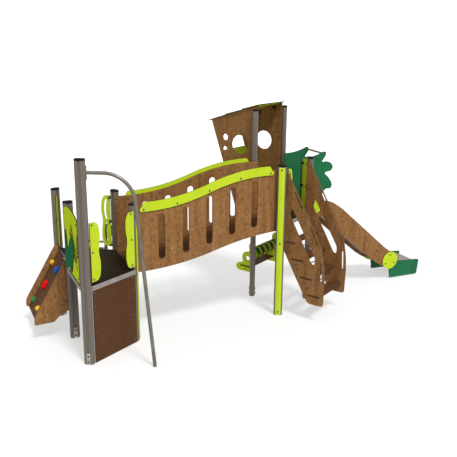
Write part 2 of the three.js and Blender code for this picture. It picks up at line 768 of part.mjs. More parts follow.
function makeStairs() {
  const near = POSTS.post_stair;
  const far = POSTS.post_slide;
  const stairTurn = -60;
  const alongX = Math.cos(rad(30));
  const alongY = Math.sin(rad(30));
  const span = GRID - 2 * STAIR_INSET;
  const treads = [];
  for (let index = 0; index < TREADS; index += 1) {
    treads.push(stairTread(index));
  }
  const mortises = treads.map(({ top, back, front }) => (
    box(back - GAP, front + GAP, -BOARD, BOARD, top - TREAD_THICK - GAP, top + GAP)
  ));
  const cheek = cut(upright(stairCheekShape(), BOARD, 0, 8), mortises);
  const nearPlace = {
    x: near.x + STAIR_INSET * alongX,
    y: near.y + STAIR_INSET * alongY,
    turn: stairTurn,
  };
  const farPlace = {
    x: far.x - STAIR_INSET * alongX,
    y: far.y - STAIR_INSET * alongY,
    turn: stairTurn,
  };
  addNode('stair_cheek_near', cheek.clone(), woodLook, nearPlace);
  addNode('stair_cheek_far', cheek.clone(), woodLook, farPlace);
  const middle = { x: (near.x + far.x) / 2, y: (near.y + far.y) / 2, turn: stairTurn };
  const half = span / 2 + BOARD / 2 + 2;
  treads.forEach(({ top, back, front }, index) => {
    const tread = box(back, front, -half, half, top - TREAD_THICK, top);
    addNode(`tread_${index + 1}`, tread, darkBrown, middle);
  });
}

// ---- slide ----------------------------------------------------------------
const SLIDE_HALF = 223;           // middle of the chute to the cheek planes
const SLIDE_MIDDLE = 1.5 * GRID;

function slideCheekShape() {
  return rounded([
    [40, 1120, 10], [40, 1308, 20], [420, 1308, 90], [610, 1192, 80], [1400, 526, 60],
    [1528, 432, 20], [1532, 205, 20], [1404, 218, 60], [1250, 315, 20], [723, 738, 60],
    [300, 1090, 60],
  ]);
}

// The chute's upper face: platform, 40 degree slope, run-out and rolled lip.
function slideBedShape() {
  const thick = 4;
  const line = new THREE.Path();
  line.moveTo(34, 1200);
  line.lineTo(195, 1200);
  line.quadraticCurveTo(255, 1200, 310, 1152);
  line.lineTo(1250, 377);
  line.quadraticCurveTo(1370, 277, 1560, 259);
  line.lineTo(1990, 226);
  line.quadraticCurveTo(2058, 222, 2064, 170);
  const points = line.getPoints(8);
  const lower = points.map((point, index) => {
    const ahead = points[Math.min(index + 1, points.length - 1)];
    const behind = points[Math.max(index - 1, 0)];
    const along = ahead.clone().sub(behind).normalize();
    return new THREE.Vector2(point.x + along.y * thick, point.y - along.x * thick);
  });
  return new THREE.Shape([...lower, ...points.reverse()]);
}

function slideFootShape() {
  return rounded([
    [1560, 18, 8], [2062, 12, 25], [2088, 240, 34], [1640, 268, 20],
    [1540, 268, 10], [1539, 165, 10],
  ]);
}

function makeSlide() {
  const place = { x: FAR_EAST };
  const cheek = upright(slideCheekShape(), BOARD);
  const foot = upright(slideFootShape(), BOARD);
  const sides = { near: -SLIDE_HALF, far: SLIDE_HALF };
  for (const [side, offset] of Object.entries(sides)) {
    const at = { ...place, y: SLIDE_MIDDLE + offset };
    addNode(`slide_cheek_${side}`, cheek.clone(), woodLook, at);
    addNode(`slide_foot_${side}`, foot.clone(), leafGreen, at);
  }
  const width = 2 * SLIDE_HALF - BOARD - GAP;
  addNode('slide_bed', upright(slideBedShape(), width), stainless, { ...place, y: SLIDE_MIDDLE });
}

// ---- leaf guards beside the slide ------------------------------------------
function leafShape() {
  const shape = new THREE.Shape();
  shape.moveTo(-65, 1330);
  shape.lineTo(-65, 1912);
  shape.quadraticCurveTo(-65, 1924, -52, 1924);
  shape.lineTo(60, 1932);
  shape.quadraticCurveTo(190, 1950, 280, 1996);
  shape.quadraticCurveTo(330, 2002, 322, 1955);
  shape.quadraticCurveTo(300, 1905, 262, 1868);
  shape.quadraticCurveTo(282, 1846, 318, 1862);
  shape.quadraticCurveTo(420, 1855, 440, 1782);
  shape.quadraticCurveTo(432, 1716, 350, 1716);
  shape.quadraticCurveTo(305, 1712, 322, 1688);
  shape.quadraticCurveTo(410, 1620, 438, 1540);
  shape.quadraticCurveTo(440, 1482, 392, 1480);
  shape.quadraticCurveTo(350, 1492, 318, 1462);
  shape.quadraticCurveTo(285, 1400, 240, 1330);
  shape.closePath();
  return shape;
}

// A narrow lime board closes the gap between the post and the slide's side.
const FILLER_BACK = 38;           // its middle plane to the post centre, towards the deck
const FILLER_LOW = HIGH_DECK + 15;
const FILLER_HIGH = 1938;

function makeFiller() {
  const start = GRID + 18;
  const end = SLIDE_MIDDLE - SLIDE_HALF - SHEET / 2 - GAP;
  const shape = rounded([
    [start, FILLER_LOW, 8], [end, FILLER_LOW, 8], [end, FILLER_HIGH - 14, 14], [start, FILLER_HIGH, 8],
  ]);
  addNode('slide_filler', upright(shape, SHEET, 0, 6), lime, { x: FAR_EAST - FILLER_BACK, turn: 90 });
}

function makeLeafGuards() {
  const leaf = upright(leafShape(), SHEET, 0, 6);
  const sides = { near: -SLIDE_HALF, far: SLIDE_HALF };
  for (const [side, offset] of Object.entries(sides)) {
    addNode(`leaf_guard_${side}`, leaf.clone(), leafGreen, { x: FAR_EAST, y: SLIDE_MIDDLE + offset });
  }
}

// ---- bench with spinning beads under the high tower -------------------------
const BENCH_INSET = 67;           // end panel plane to post centre, along the edge
const SEAT_TOP = 388;
const SEAT_BACK = 66;
const SEAT_FRONT = 244;
const AXLE_OUT = 55;
const AXLE_UP = 572;
const AXLE = 22;
const BEAD_RADIUS = 80;
const BEADS = 5;
const BEAD_LOBES = 6;
const BEAD_DISC = 19;             // thickness of one disc
const BEAD_HUB = 24;              // radius of the hub

function benchEndShape() {
  const shape = new THREE.Shape();
  const inner = 4;
  shape.moveTo(inner, 302);
  shape.lineTo(255, 302);
  shape.bezierCurveTo(330, 302, 330, 412, 256, 412);
  shape.bezierCurveTo(215, 415, 195, 430, 205, 470);
  shape.bezierCurveTo(228, 540, 185, 592, 140, 588);
  shape.bezierCurveTo(100, 585, 90, 612, 98, 645);
  shape.bezierCurveTo(112, 700, 85, 745, 40, 745);
  shape.lineTo(inner, 745);
  shape.closePath();
  shape.holes.push(circle(122, 494, 36));
  return shape;
}

// Two wavy discs on one hub, bored for the axle.
function beadGeometry(pitch) {
  const steps = 6 * BEAD_LOBES;
  const outline = [];
  for (let index = 0; index < steps; index += 1) {
    const angle = 2 * Math.PI * index / steps;
    const radius = BEAD_RADIUS * (0.93 + 0.07 * Math.cos(BEAD_LOBES * angle));
    outline.push(new THREE.Vector2(radius * Math.cos(angle), radius * Math.sin(angle)));
  }
  const bore = AXLE / 2 + 1.5;
  const disc = new THREE.Shape(outline);
  disc.holes.push(circle(0, 0, bore));
  const hub = circle(0, 0, BEAD_HUB, THREE.Shape);
  hub.holes.push(circle(0, 0, bore));
  const solids = [
    upright(disc, BEAD_DISC, -pitch / 2),
    upright(disc, BEAD_DISC, pitch / 2),
    upright(hub, 2 * pitch - 4),
  ];
  return join(solids);
}

function makeBench() {
  const near = POSTS.post_cabin_near;
  const far = POSTS.post_cabin_far;
  const middle = { x: (near.x + far.x) / 2, y: (near.y + far.y) / 2, turn: 120 };
  const planes = GRID / 2 - BENCH_INSET;
  const mortise = box(
    SEAT_BACK - GAP, SEAT_FRONT + GAP, -BOARD, BOARD, SEAT_TOP - BOARD - GAP, SEAT_TOP + GAP,
  );
  const axleHole = rod(
    new THREE.Vector3(AXLE_OUT, -BOARD, AXLE_UP),
    new THREE.Vector3(AXLE_OUT, BOARD, AXLE_UP),
    AXLE + 2 * GAP,
  );
  const end = cut(upright(benchEndShape(), BOARD, 0, 6), [mortise, axleHole]);
  // Across the bench, +y of the turned frame points back to the near post.
  const sides = { near: planes, far: -planes };
  for (const [side, offset] of Object.entries(sides)) {
    addNode(`bench_end_${side}`, end.clone().translate(0, offset, 0), lime, middle);
  }
  const half = planes + BOARD / 2 + 2;
  const seat = box(SEAT_BACK, SEAT_FRONT, -half, half, SEAT_TOP - BOARD, SEAT_TOP);
  addNode('bench_seat', seat, darkBrown, middle);
  const axle = rod(
    new THREE.Vector3(AXLE_OUT, -half, AXLE_UP),
    new THREE.Vector3(AXLE_OUT, half, AXLE_UP),
    AXLE,
  );
  addNode('bead_axle', axle, galvanised, middle);

  const room = 2 * planes - BOARD - 2 * GAP;
  const pitch = room / BEADS / 2;
  const bead = beadGeometry(pitch);
  for (let index = 0; index < BEADS; index += 1) {
    const across = room / 2 - pitch * (2 * index + 1);
    const geometry = bead.clone().translate(AXLE_OUT, across, AXLE_UP);
    addNode(`bead_${index + 1}`, geometry, index % 2 ? leafGreen : lime, middle);
  }
}

makePosts();
makeDecks();
makeEdgeInfill();
makeFirePole();
makeClimbingWall();
makeArchClimber();
makeHandles();
makeBridge();
makeCabin();
makeStairs();
makeSlide();
makeFiller();
makeLeafGuards();
makeBench();

// The origin is the middle of the footprint, at ground level.
structure.updateMatrixWorld(true);
const bounds = new THREE.Box3().setFromObject(structure, true);
const centre = bounds.getCenter(new THREE.Vector3());
structure.position.set(-centre.x, -centre.y, -bounds.min.z);
structure.updateMatrixWorld(true);

export default structure;
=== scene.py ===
# The looks of the modular play structure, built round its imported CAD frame.
# Metres, +Z up, +X along the bridge towards the slide.
import math

import bmesh
import bpy
from mathutils import Matrix, Vector, noise


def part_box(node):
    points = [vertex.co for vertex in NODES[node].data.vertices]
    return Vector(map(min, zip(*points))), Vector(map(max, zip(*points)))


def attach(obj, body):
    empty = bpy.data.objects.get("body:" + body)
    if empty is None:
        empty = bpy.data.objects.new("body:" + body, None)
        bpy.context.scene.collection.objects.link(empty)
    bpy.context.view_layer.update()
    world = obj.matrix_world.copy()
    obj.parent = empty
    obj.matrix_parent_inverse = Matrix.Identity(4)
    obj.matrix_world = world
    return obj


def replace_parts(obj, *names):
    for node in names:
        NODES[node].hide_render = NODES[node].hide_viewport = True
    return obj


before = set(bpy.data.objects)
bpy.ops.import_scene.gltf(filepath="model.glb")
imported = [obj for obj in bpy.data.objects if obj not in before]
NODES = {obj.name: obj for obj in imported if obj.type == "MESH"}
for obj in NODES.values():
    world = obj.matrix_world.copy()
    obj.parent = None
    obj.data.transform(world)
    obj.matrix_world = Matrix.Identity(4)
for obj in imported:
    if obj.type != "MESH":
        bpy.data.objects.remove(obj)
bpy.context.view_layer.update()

# ---- sizes, in metres ----
GRID = 0.740
HALF = GRID / 2
BRIDGE = 1.905
LOW_DECK = 0.900
HIGH_DECK = 1.200
POST_HALF_LENGTH = 0.055
POST_HALF_WIDTH = 0.035
POST_CHAMFER = 0.018
GROOVE_DEPTH = 0.010
INSET = 0.067  # from a post's middle to the boards of the cabin, the stairs and the bench
BOARD = 0.019
SHEET = 0.013
TUBE = 0.040
GAP = 0.0005  # between a board and what is laid on it
WELD = 0.00002
POST_TURNS = {
    "post_fire_pole": -30,
    "post_wall_near": 0,
    "post_wall_far": 30,
    "post_bridge_low_near": 60,
    "post_bridge_low_far": 120,
    "post_stair": -30,
    "post_cabin_near": 60,
    "post_cabin_far": 60,
    "post_slide": 60,
}


# ---- places ----
def middle(node):
    low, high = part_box(node)
    return (low + high) / 2


def foot(node):
    point = middle(node)
    point.z = 0
    return point


def top(node):
    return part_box(node)[1].z


ORIGIN = foot("post_fire_pole")
FAR_EAST = foot("post_slide").x


def place(origin, turn, along=0.0, side=0.0, up=0.0):
    """A frame at origin whose X runs along that turn in plan, in degrees, moved in its own axes."""
    turned = Matrix.Rotation(math.radians(turn), 4, "Z")
    return Matrix.Translation(origin) @ turned @ Matrix.Translation((along, side, up))


def facing(matrix, direction):
    """A frame at the same origin, whose Z looks along that local direction and whose Y stays up."""
    outward = Vector(direction).normalized()
    up = Vector((0, 0, 1)) if abs(outward.z) < 0.9 else Vector((0, 1, 0))
    across = up.cross(outward).normalized()
    up = outward.cross(across)
    turned = Matrix((across, up, outward)).transposed().to_4x4()
    return matrix @ turned


def level(turn):
    """The level direction at that turn in plan, in degrees."""
    return (math.cos(math.radians(turn)), math.sin(math.radians(turn)), 0.0)


def between(first, last):
    """The places of the two boards that stand inside two posts on an edge at 30 degrees."""
    shift = Vector(level(30)) * INSET
    return foot(first) + shift, foot(last) - shift


X_FACES = (1.0, 0.0, 0.0)
Y_FACES = (0.0, 1.0, 0.0)
Z_FACES = (0.0, 0.0, 1.0)


# ---- materials ----
def linear(code):
    """A colour written as six hex digits, as linear red, green, blue and alpha."""
    parts = [int(code[i : i + 2], 16) / 255 for i in (1, 3, 5)]
    return [p / 12.92 if p <= 0.04045 else ((p + 0.055) / 1.055) ** 2.4 for p in parts] + [1]


class Finish:
    """A material's node tree, with short names for what is used often."""

    def __init__(self, name, roughness=0.5, metallic=0.0, specular=0.16):
        self.material = bpy.data.materials.new(name)
        self.material.use_nodes = True
        self.tree = self.material.node_tree
        self.shader = self.tree.nodes["Principled BSDF"]
        self.shader.inputs["Roughness"].default_value = roughness
        self.shader.inputs["Metallic"].default_value = metallic
        self.shader.inputs["Specular IOR Level"].default_value = specular
        self.coordinates = self.node("ShaderNodeTexCoord").outputs["Object"]

    def node(self, kind, **values):
        made = self.tree.nodes.new(kind)
        for name, value in values.items():
            setattr(made, name, value)
        return made

    def link(self, output, target):
        self.tree.links.new(output, target)

    def noise(self, stretch, detail=2.0, roughness=0.5):
        mapping = self.node("ShaderNodeMapping")
        mapping.inputs["Scale"].default_value = stretch
        self.link(self.coordinates, mapping.inputs["Vector"])
        texture = self.node("ShaderNodeTexNoise")
        texture.inputs["Scale"].default_value = 1.0
        texture.inputs["Detail"].default_value = detail
        texture.inputs["Roughness"].default_value = roughness
        self.link(mapping.outputs["Vector"], texture.inputs["Vector"])
        return texture.outputs["Fac"]

    def ramp(self, value, stops):
        made = self.node("ShaderNodeValToRGB")
        elements = made.color_ramp.elements
        while len(elements) < len(stops):
            elements.new(0.5)
        for element, (position, colour) in zip(elements, stops):
            element.position = position
            grey = not isinstance(colour, str)
            element.color = [colour] * 3 + [1] if grey else linear(colour)
        self.link(value, made.inputs["Fac"])
        return made.outputs["Color"]

    def math(self, operation, first, second):
        made = self.node("ShaderNodeMath", operation=operation)
        for socket, value in zip(made.inputs, (first, second)):
            if isinstance(value, (int, float)):
                socket.default_value = value
            else:
                self.link(value, socket)
        return made.outputs["Value"]

    def weigh(self, first, second, share):
        """That share of the first value plus the rest of the second."""
        total = self.math("MULTIPLY_ADD", first, share)
        self.link(self.math("MULTIPLY", second, 1 - share), total.node.inputs[2])
        return total

    def mix(self, factor, first, second, blend="MIX"):
        made = self.node("ShaderNodeMix", data_type="RGBA", blend_type=blend)
        made.clamp_factor = True
        for name, value in (("Factor", factor), ("A", first), ("B", second)):
            sockets = [s for s in made.inputs if s.name == name]
            socket = sockets[0] if name == "Factor" else sockets[2]
            if name != "Factor" and isinstance(value, str):
                socket.default_value = linear(value)
            elif isinstance(value, (int, float)):
                socket.default_value = value
            else:
                self.link(value, socket)
        return [s for s in made.outputs if s.name == "Result"][2]

    def colour(self, output):
        self.link(output, self.shader.inputs["Base Color"])

    def roughness(self, value, low, high):
        spread = self.node("ShaderNodeMapRange")
        spread.inputs["To Min"].default_value = low
        spread.inputs["To Max"].default_value = high
        self.link(value, spread.inputs["Value"])
        self.link(spread.outputs["Result"], self.shader.inputs["Roughness"])

    def bump(self, height, distance, strength=0.5):
        made = self.node("ShaderNodeBump")
        made.inputs["Strength"].default_value = strength
        made.inputs["Distance"].default_value = distance
        self.link(height, made.inputs["Height"])
        self.link(made.outputs["Normal"], self.shader.inputs["Normal"])

    def on_faces(self, direction, limit=0.85):
        """1 where the surface looks along that direction or against it, 0 on a board's edges."""
        geometry = self.node("ShaderNodeNewGeometry")
        dot = self.node("ShaderNodeVectorMath", operation="DOT_PRODUCT")
        self.link(geometry.outputs["Normal"], dot.inputs[0])
        dot.inputs[1].default_value = direction
        size = self.node("ShaderNodeMath", operation="ABSOLUTE")
        self.link(dot.outputs["Value"], size.inputs[0])
        return self.math("GREATER_THAN", size.outputs["Value"], limit)


def wood_look(name, direction):
    """Laminate printed like bamboo strips: upright light bands, mottling, short dark dashes."""
    finish = Finish(name)
    bands = finish.noise((15, 15, 1.4), 2.0, 0.6)
    mottle = finish.noise((26, 26, 22), 6.0, 0.66)
    face = finish.ramp(
        finish.weigh(bands, mottle, 0.42),
        [(0.36, "#78512e"), (0.47, "#8d6339"), (0.56, "#9b6f43"), (0.66, "#a97c50")],
    )
    dashes = finish.noise((26, 26, 110), 2.0, 0.5)
    marks = finish.ramp(dashes, [(0.57, 0.0), (0.64, 1.0)])
    patches = finish.ramp(finish.noise((9, 9, 7), 1.0), [(0.42, 0.05), (0.58, 0.6)])
    amount = finish.math("MULTIPLY", marks, patches)
    face = finish.mix(amount, face, "#5d3f24")
    core = finish.ramp(finish.noise((60, 60, 220), 3.0), [(0.3, "#5b4026"), (0.7, "#7b5a38")])
    finish.colour(finish.mix(finish.on_faces(direction), core, face))
    finish.roughness(mottle, 0.48, 0.66)
    finish.bump(finish.noise((420, 420, 160), 3.0), 0.0006, 0.25)
    return finish.material


def plain_board(name, direction, stops, core=("#3f2b1f", "#5f4330")):
    """A laminate of one colour on both faces, with a brown core along its edges.
    Boards that face X, such as the play panel, have no sheen."""
    finish = Finish(name, specular=0.0 if direction == X_FACES else 0.05)
    cloud = finish.noise((5, 5, 5), 4.0, 0.55)
    face = finish.ramp(cloud, list(zip((0.3, 0.5, 0.7), stops)))
    dust = finish.ramp(finish.noise((90, 90, 90), 3.0, 0.7), [(0.3, 0.93), (0.75, 1.0)])
    face = finish.mix(1.0, face, dust, "MULTIPLY")
    layers = finish.ramp(finish.noise((70, 70, 260), 3.0), [(0.3, core[0]), (0.7, core[1])])
    finish.colour(finish.mix(finish.on_faces(direction), layers, face))
    finish.roughness(cloud, 0.46, 0.6)
    finish.bump(finish.noise((500, 500, 500), 2.0), 0.0004, 0.2)
    return finish.material


BOARD_COLOURS = {
    "lime": ("#c2da2a", "#c7df2e", "#cbe234"),
    "green": ("#256d45", "#287249", "#2c774d"),
    "brown": ("#573a26", "#5c3e28", "#61412b"),
}
made_boards = {}


def board_material(colour, direction):
    """The laminate of that colour for a board whose faces look along that direction."""
    key = (colour, tuple(round(c, 2) for c in direction))
    if key not in made_boards:
        name = f"{colour}_{len(made_boards)}"
        if colour == "wood":
            made_boards[key] = wood_look(name, direction)
        else:
            made_boards[key] = plain_board(name, direction, BOARD_COLOURS[colour])
    return made_boards[key]


def powder_coat():
    finish = Finish("post_coat", metallic=0.25, specular=0.3)
    cloud = finish.noise((4, 4, 0.8), 2.0, 0.5)
    tone = finish.ramp(cloud, [(0.3, "#7d746a"), (0.5, "#80776d"), (0.72, "#837a70")])
    speckle = finish.ramp(finish.noise((700, 700, 700), 2.0), [(0.35, 0.86), (0.6, 1.0)])
    finish.colour(finish.mix(1.0, tone, speckle, "MULTIPLY"))
    finish.roughness(speckle, 0.40, 0.5)
    finish.bump(finish.noise((520, 520, 520), 2.0), 0.0005, 0.3)
    return finish.material


def satin_steel(name, stops, stretch, metallic=0.55, spread=(0.3, 0.46)):
    """Steel with fine drawn lines along the axis in which stretch is small."""
    finish = Finish(name, metallic=metallic)
    lines = finish.noise(stretch, 4.0, 0.7)
    cloud = finish.noise((7, 7, 7), 3.0)
    both = finish.weigh(lines, cloud, 0.5)
    finish.colour(finish.ramp(both, list(zip((0.32, 0.5, 0.68), stops))))
    finish.roughness(lines, *spread)
    finish.bump(lines, 0.0003, 0.2)
    return finish.material


def moulded(name, stops, grain=260, depth=0.0005, spread=(0.4, 0.6)):
    finish = Finish(name, specular=0.08)
    cloud = finish.noise((30, 30, 30), 4.0, 0.6)
    finish.colour(finish.ramp(cloud, list(zip((0.3, 0.5, 0.7), stops))))
    finish.roughness(cloud, *spread)
    finish.bump(finish.noise((grain,) * 3, 3.0, 0.7), depth, 0.5)
    return finish.material


def deck_finish():
    """Near-black anti-slip board on top, light grey steel below."""
    finish = Finish("deck_plate", specular=0.08)
    geometry = finish.node("ShaderNodeNewGeometry")
    parts = finish.node("ShaderNodeSeparateXYZ")
    finish.link(geometry.outputs["Normal"], parts.inputs["Vector"])
    upwards = finish.math("GREATER_THAN", parts.outputs["Z"], 0.9)
    grit = finish.noise((300, 300, 300), 3.0, 0.7)
    board = finish.ramp(grit, [(0.3, "#1b130c"), (0.55, "#231910"), (0.8, "#2d2117")])
    steel = finish.ramp(finish.noise((9, 9, 40), 4.0), [(0.3, "#8f8780"), (0.7, "#aaa29b")])
    finish.colour(finish.mix(upwards, steel, board))
    finish.roughness(grit, 0.6, 0.8)
    finish.bump(grit, 0.0006, 0.3)
    return finish.material


POST_COAT = powder_coat()
POLE_STEEL = satin_steel("pole_steel", ("#787068", "#877f76", "#989087"), (240, 240, 9), 0.5)
GALVANISED = satin_steel("galvanised", ("#8a837c", "#9e9790", "#b2aba4"), (60, 60, 60), 0.5)
PLATE_STEEL = satin_steel("plate_steel", ("#b5aea6", "#c1bab2", "#cbc5be"), (60, 60, 60), 0.35)
CHUTE_STEEL = satin_steel("chute_steel", ("#989086", "#a89f95", "#b5ada4"), (5, 420, 5), 0.8)
BOLT_STEEL = satin_steel("bolt_steel", ("#5b5650", "#6b655e", "#7b756d"), (300, 300, 300), 0.6)
CAP_BLACK = moulded("cap_black", ("#12100f", "#1a1816", "#232020"))
CLAMP_BLACK = moulded("clamp_black", ("#25211f", "#2e2a27", "#3a3531"))
GRIP_GREEN = moulded("grip_green", ("#246445", "#2c7350", "#35805b"), 180)
DECK = deck_finish()
RESIN_COLOURS = {
    "yellow": ("#e0a512", "#f2ba1c", "#fbcb3a"),
    "blue": ("#0f4f9f", "#1763c0", "#2a77d2"),
    "red": ("#b80c0c", "#dc1212", "#ee2a26"),
    "green": ("#226a3b", "#2c8048", "#399258"),
}
RESIN = {
    colour: moulded(f"resin_{colour}", stops, 420, 0.0012)
    for colour, stops in RESIN_COLOURS.items()
}


# ---- the CAD nodes that stay ----
def paint(node, material, rounding=0.0):
    """Gives a CAD node its finish, and rounds its edges without changing its mesh."""
    piece = NODES[node]
    piece.data.materials.clear()
    piece.data.materials.append(material)
    if rounding:
        weld = piece.modifiers.new("weld", "WELD")
        weld.merge_threshold = WELD
        edge = piece.modifiers.new("round", "BEVEL")
        edge.width = rounding
        edge.segments = 2
        edge.limit_method = "ANGLE"
        edge.angle_limit = math.radians(40)
        edge.use_clamp_overlap = True
        edge.harden_normals = False
    for face in piece.data.polygons:
        face.use_smooth = False


def pairs(*stems):
    """The names of the near and the far board of each pair."""
    return [f"{stem}_{side}" for stem in stems for side in ("near", "far")]


WALL_SLOPE = math.radians(59.5)
CABIN_LEAN = math.atan(0.3527)
ROOF_LEAN = math.atan(0.312)
OUT = Vector(level(120))
WALL_FACES = (-math.sin(WALL_SLOPE), 0.0, math.cos(WALL_SLOPE))
FRONT_FACES = tuple(OUT * math.cos(CABIN_LEAN) + Vector((0, 0, -math.sin(CABIN_LEAN))))
ROOF_FACES = tuple(OUT * math.sin(ROOF_LEAN) + Vector((0, 0, math.cos(ROOF_LEAN))))
BOARDS = [
    ("brown", level(-60), ["under_deck_wall"]),
    ("lime", level(-60), ["guard_pole_post", "guard_bridge_post"]),
    ("lime", X_FACES, ["play_panel", "handle_climb", "slide_filler"]),
    ("wood", Y_FACES, pairs("climb_cheek", "bridge_panel", "slide_cheek")),
    ("brown", WALL_FACES, ["climb_board"]),
    ("lime", level(60), ["handle_ladder"]),
    ("lime", level(120), ["handle_stair"]),
    ("lime", Y_FACES, pairs("bridge_rail")),
    ("brown", Z_FACES, ["bridge_deck", "tread_1", "tread_2", "tread_3", "tread_4", "bench_seat"]),
    ("wood", level(30), pairs("cabin_wall", "stair_cheek")),
    ("lime", FRONT_FACES, ["cabin_front"]),
    ("lime", ROOF_FACES, ["cabin_roof"]),
    ("green", Y_FACES, pairs("slide_foot", "leaf_guard")),
    ("lime", level(30), pairs("bench_end")),
]
BOARD_ROUNDING = 0.0022
POST_ROUNDING = 0.0015
DECK_ROUNDING = 0.002
AXLE_ROUNDING = 0.001
for colour, direction, names in BOARDS:
    for node in names:
        paint(node, board_material(colour, direction), BOARD_ROUNDING)
for node in POST_TURNS:
    paint(node, POST_COAT, POST_ROUNDING)
for node in ("deck_low", "deck_high"):
    paint(node, DECK, DECK_ROUNDING)
paint("slide_bed", CHUTE_STEEL)
paint("bead_axle", GALVANISED, AXLE_ROUNDING)


# ---- mesh tools ----
def piece(name, bm, material, slot=None, body="structure", smooth=35):
    """Turns a bmesh in the shared frame into a finished piece that rides on a body."""
    bmesh.ops.recalc_face_normals(bm, faces=bm.faces)
    mesh = bpy.data.meshes.new(name)
    bm.to_mesh(mesh)
    bm.free()
    mesh.materials.append(material)
    made = bpy.data.objects.new(name, mesh)
    bpy.context.scene.collection.objects.link(made)
    if smooth:
        for face in mesh.polygons:
            face.use_smooth = True
        mesh.set_sharp_from_angle(angle=math.radians(smooth))
    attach(made, body)
    return made


def around(radius, sides, height=0.0):
    """Points round the local Z; radius is a number or a function of the angle."""
    points = []
    for index in range(sides):
        angle = 2 * math.pi * index / sides
        reach = radius(angle) if callable(radius) else radius
        points.append(Vector((reach * math.cos(angle), reach * math.sin(angle), height)))
    return points


def join_rings(bm, rings, ends=True):
    """Faces from each ring to the next, and one across each end if the ends are closed."""
    for lower, upper in zip(rings, rings[1:]):
        for index in range(len(lower)):
            after = (index + 1) % len(lower)
            bm.faces.new((lower[index], lower[after], upper[after], upper[index]))
    if ends:
        bm.faces.new(list(reversed(rings[0])))
        bm.faces.new(rings[-1])


def lathe(bm, profile, matrix, sides=14):
    """Turns a profile of (radius, height) pairs about the local Z; its ends are closed."""
    rings = []
    for radius, height in profile:
        rings.append([bm.verts.new(matrix @ point) for point in around(radius, sides, height)])
    join_rings(bm, rings)


def slab(bm, outline, low, high, matrix, soft=0.0, segments=2):
    """Extrudes a flat outline from low to high along the local Z, with softened rims."""
    base = [bm.verts.new(matrix @ Vector((x, y, low))) for x, y in outline]
    roof = [bm.verts.new(matrix @ Vector((x, y, high))) for x, y in outline]
    count = len(outline)
    lower = bm.faces.new(list(reversed(base)))
    upper = bm.faces.new(roof)
    for index in range(count):
        after = (index + 1) % count
        bm.faces.new((base[index], base[after], roof[after], roof[index]))
    if soft:
        rims = {edge for face in (lower, upper) for edge in face.edges}
        bmesh.ops.bevel(
            bm, geom=list(rims), offset=soft, segments=segments, affect="EDGES", profile=0.5,
        )


def round_outline(points, radius, steps=4):
    """An outline whose corners are rounded."""
    result = []
    count = len(points)
    for index, corner in enumerate(points):
        corner = Vector(corner)
        before = Vector(points[index - 1]) - corner
        after = Vector(points[(index + 1) % count]) - corner
        reach = min(radius, before.length * 0.45, after.length * 0.45)
        start = corner + before.normalized() * reach
        end = corner + after.normalized() * reach
        for step in range(steps + 1):
            t = step / steps
            mixed = start * (1 - t) ** 2 + corner * 2 * t * (1 - t) + end * t**2
            result.append((mixed.x, mixed.y))
    return result


def rectangle(width, height):
    x = width / 2
    y = height / 2
    return [(-x, -y), (x, -y), (x, y), (-x, y)]


def plate(bm, width, height, corner, low, high, matrix, soft=0.001, up=0.0, steps=3):
    """A rectangle with rounded corners, from low to high; up moves its middle along the local Y."""
    outline = [(x, y + up) for x, y in rectangle(width, height)]
    slab(bm, round_outline(outline, corner, steps), low, high, matrix, soft)


def sweep(bm, path, radii, sides=20):
    """A round tube along a path; radii is one number or one for each point."""
    if isinstance(radii, float):
        radii = [radii] * len(path)
    rings = []
    side = None
    for index, point in enumerate(path):
        ahead = path[min(index + 1, len(path) - 1)]
        behind = path[max(index - 1, 0)]
        along = (ahead - behind).normalized()
        if side is None:
            start = Vector((0, 0, 1)) if abs(along.z) < 0.9 else Vector((1, 0, 0))
            side = along.cross(start)
        side = (side - along * side.dot(along)).normalized()
        other = along.cross(side)
        ring = []
        for corner in range(sides):
            angle = 2 * math.pi * corner / sides
            spoke = side * math.cos(angle) + other * math.sin(angle)
            ring.append(bm.verts.new(point + spoke * radii[index]))
        rings.append(ring)
    join_rings(bm, rings)


def bar(bm, first, last, radius, sides):
    """A straight round bar."""
    sweep(bm, [first.lerp(last, t) for t in (0.0, 0.5, 1.0)], radius, sides)


def cubic(a, b, c, d, steps):
    """The points of a Bezier curve, without its first one."""
    points = []
    for index in range(1, steps + 1):
        t = index / steps
        s = 1 - t
        points.append(a * s**3 + b * 3 * s * s * t + c * 3 * s * t * t + d * t**3)
    return points


# ---- bolts ----
# A domed head with a socket on a thin washer; its local Z looks out of the board.
HEAD = [
    (0.0120, -0.004),
    (0.0120, 0.0014),
    (0.0096, 0.0018),
    (0.0090, 0.0046),
    (0.0074, 0.0062),
    (0.0048, 0.0068),
    (0.0036, 0.0068),
    (0.0034, 0.0040),
]


def bolts(name, seats):
    bm = bmesh.new()
    for matrix in seats:
        lathe(bm, HEAD, matrix)
    return piece(name, bm, BOLT_STEEL)


def on_board(origin, turn, plane, spots, sides=(-1, 1), thickness=BOARD):
    """Bolt seats on a standing board: spots are (along, up), plane is the board's middle plane.
    Side -1 is the face that looks to the local -Y, and side 1 the one that looks to +Y."""
    seats = []
    for along, up in spots:
        for side in sides:
            face = place(origin, turn, along, plane + side * thickness / 2, up)
            seats.append(facing(face, (0, side, 0)))
    return seats


# ---- posts: caps, anchor plates, cover strips ----
def post_outline(grow):
    a = POST_HALF_LENGTH + grow
    b = POST_HALF_WIDTH + grow
    c = POST_CHAMFER + grow * 0.6
    return [
        (a, -b + c), (a, b - c), (a - c, b), (-a + c, b),
        (-a, b - c), (-a, -b + c), (-a + c, -b), (a - c, -b),
    ]


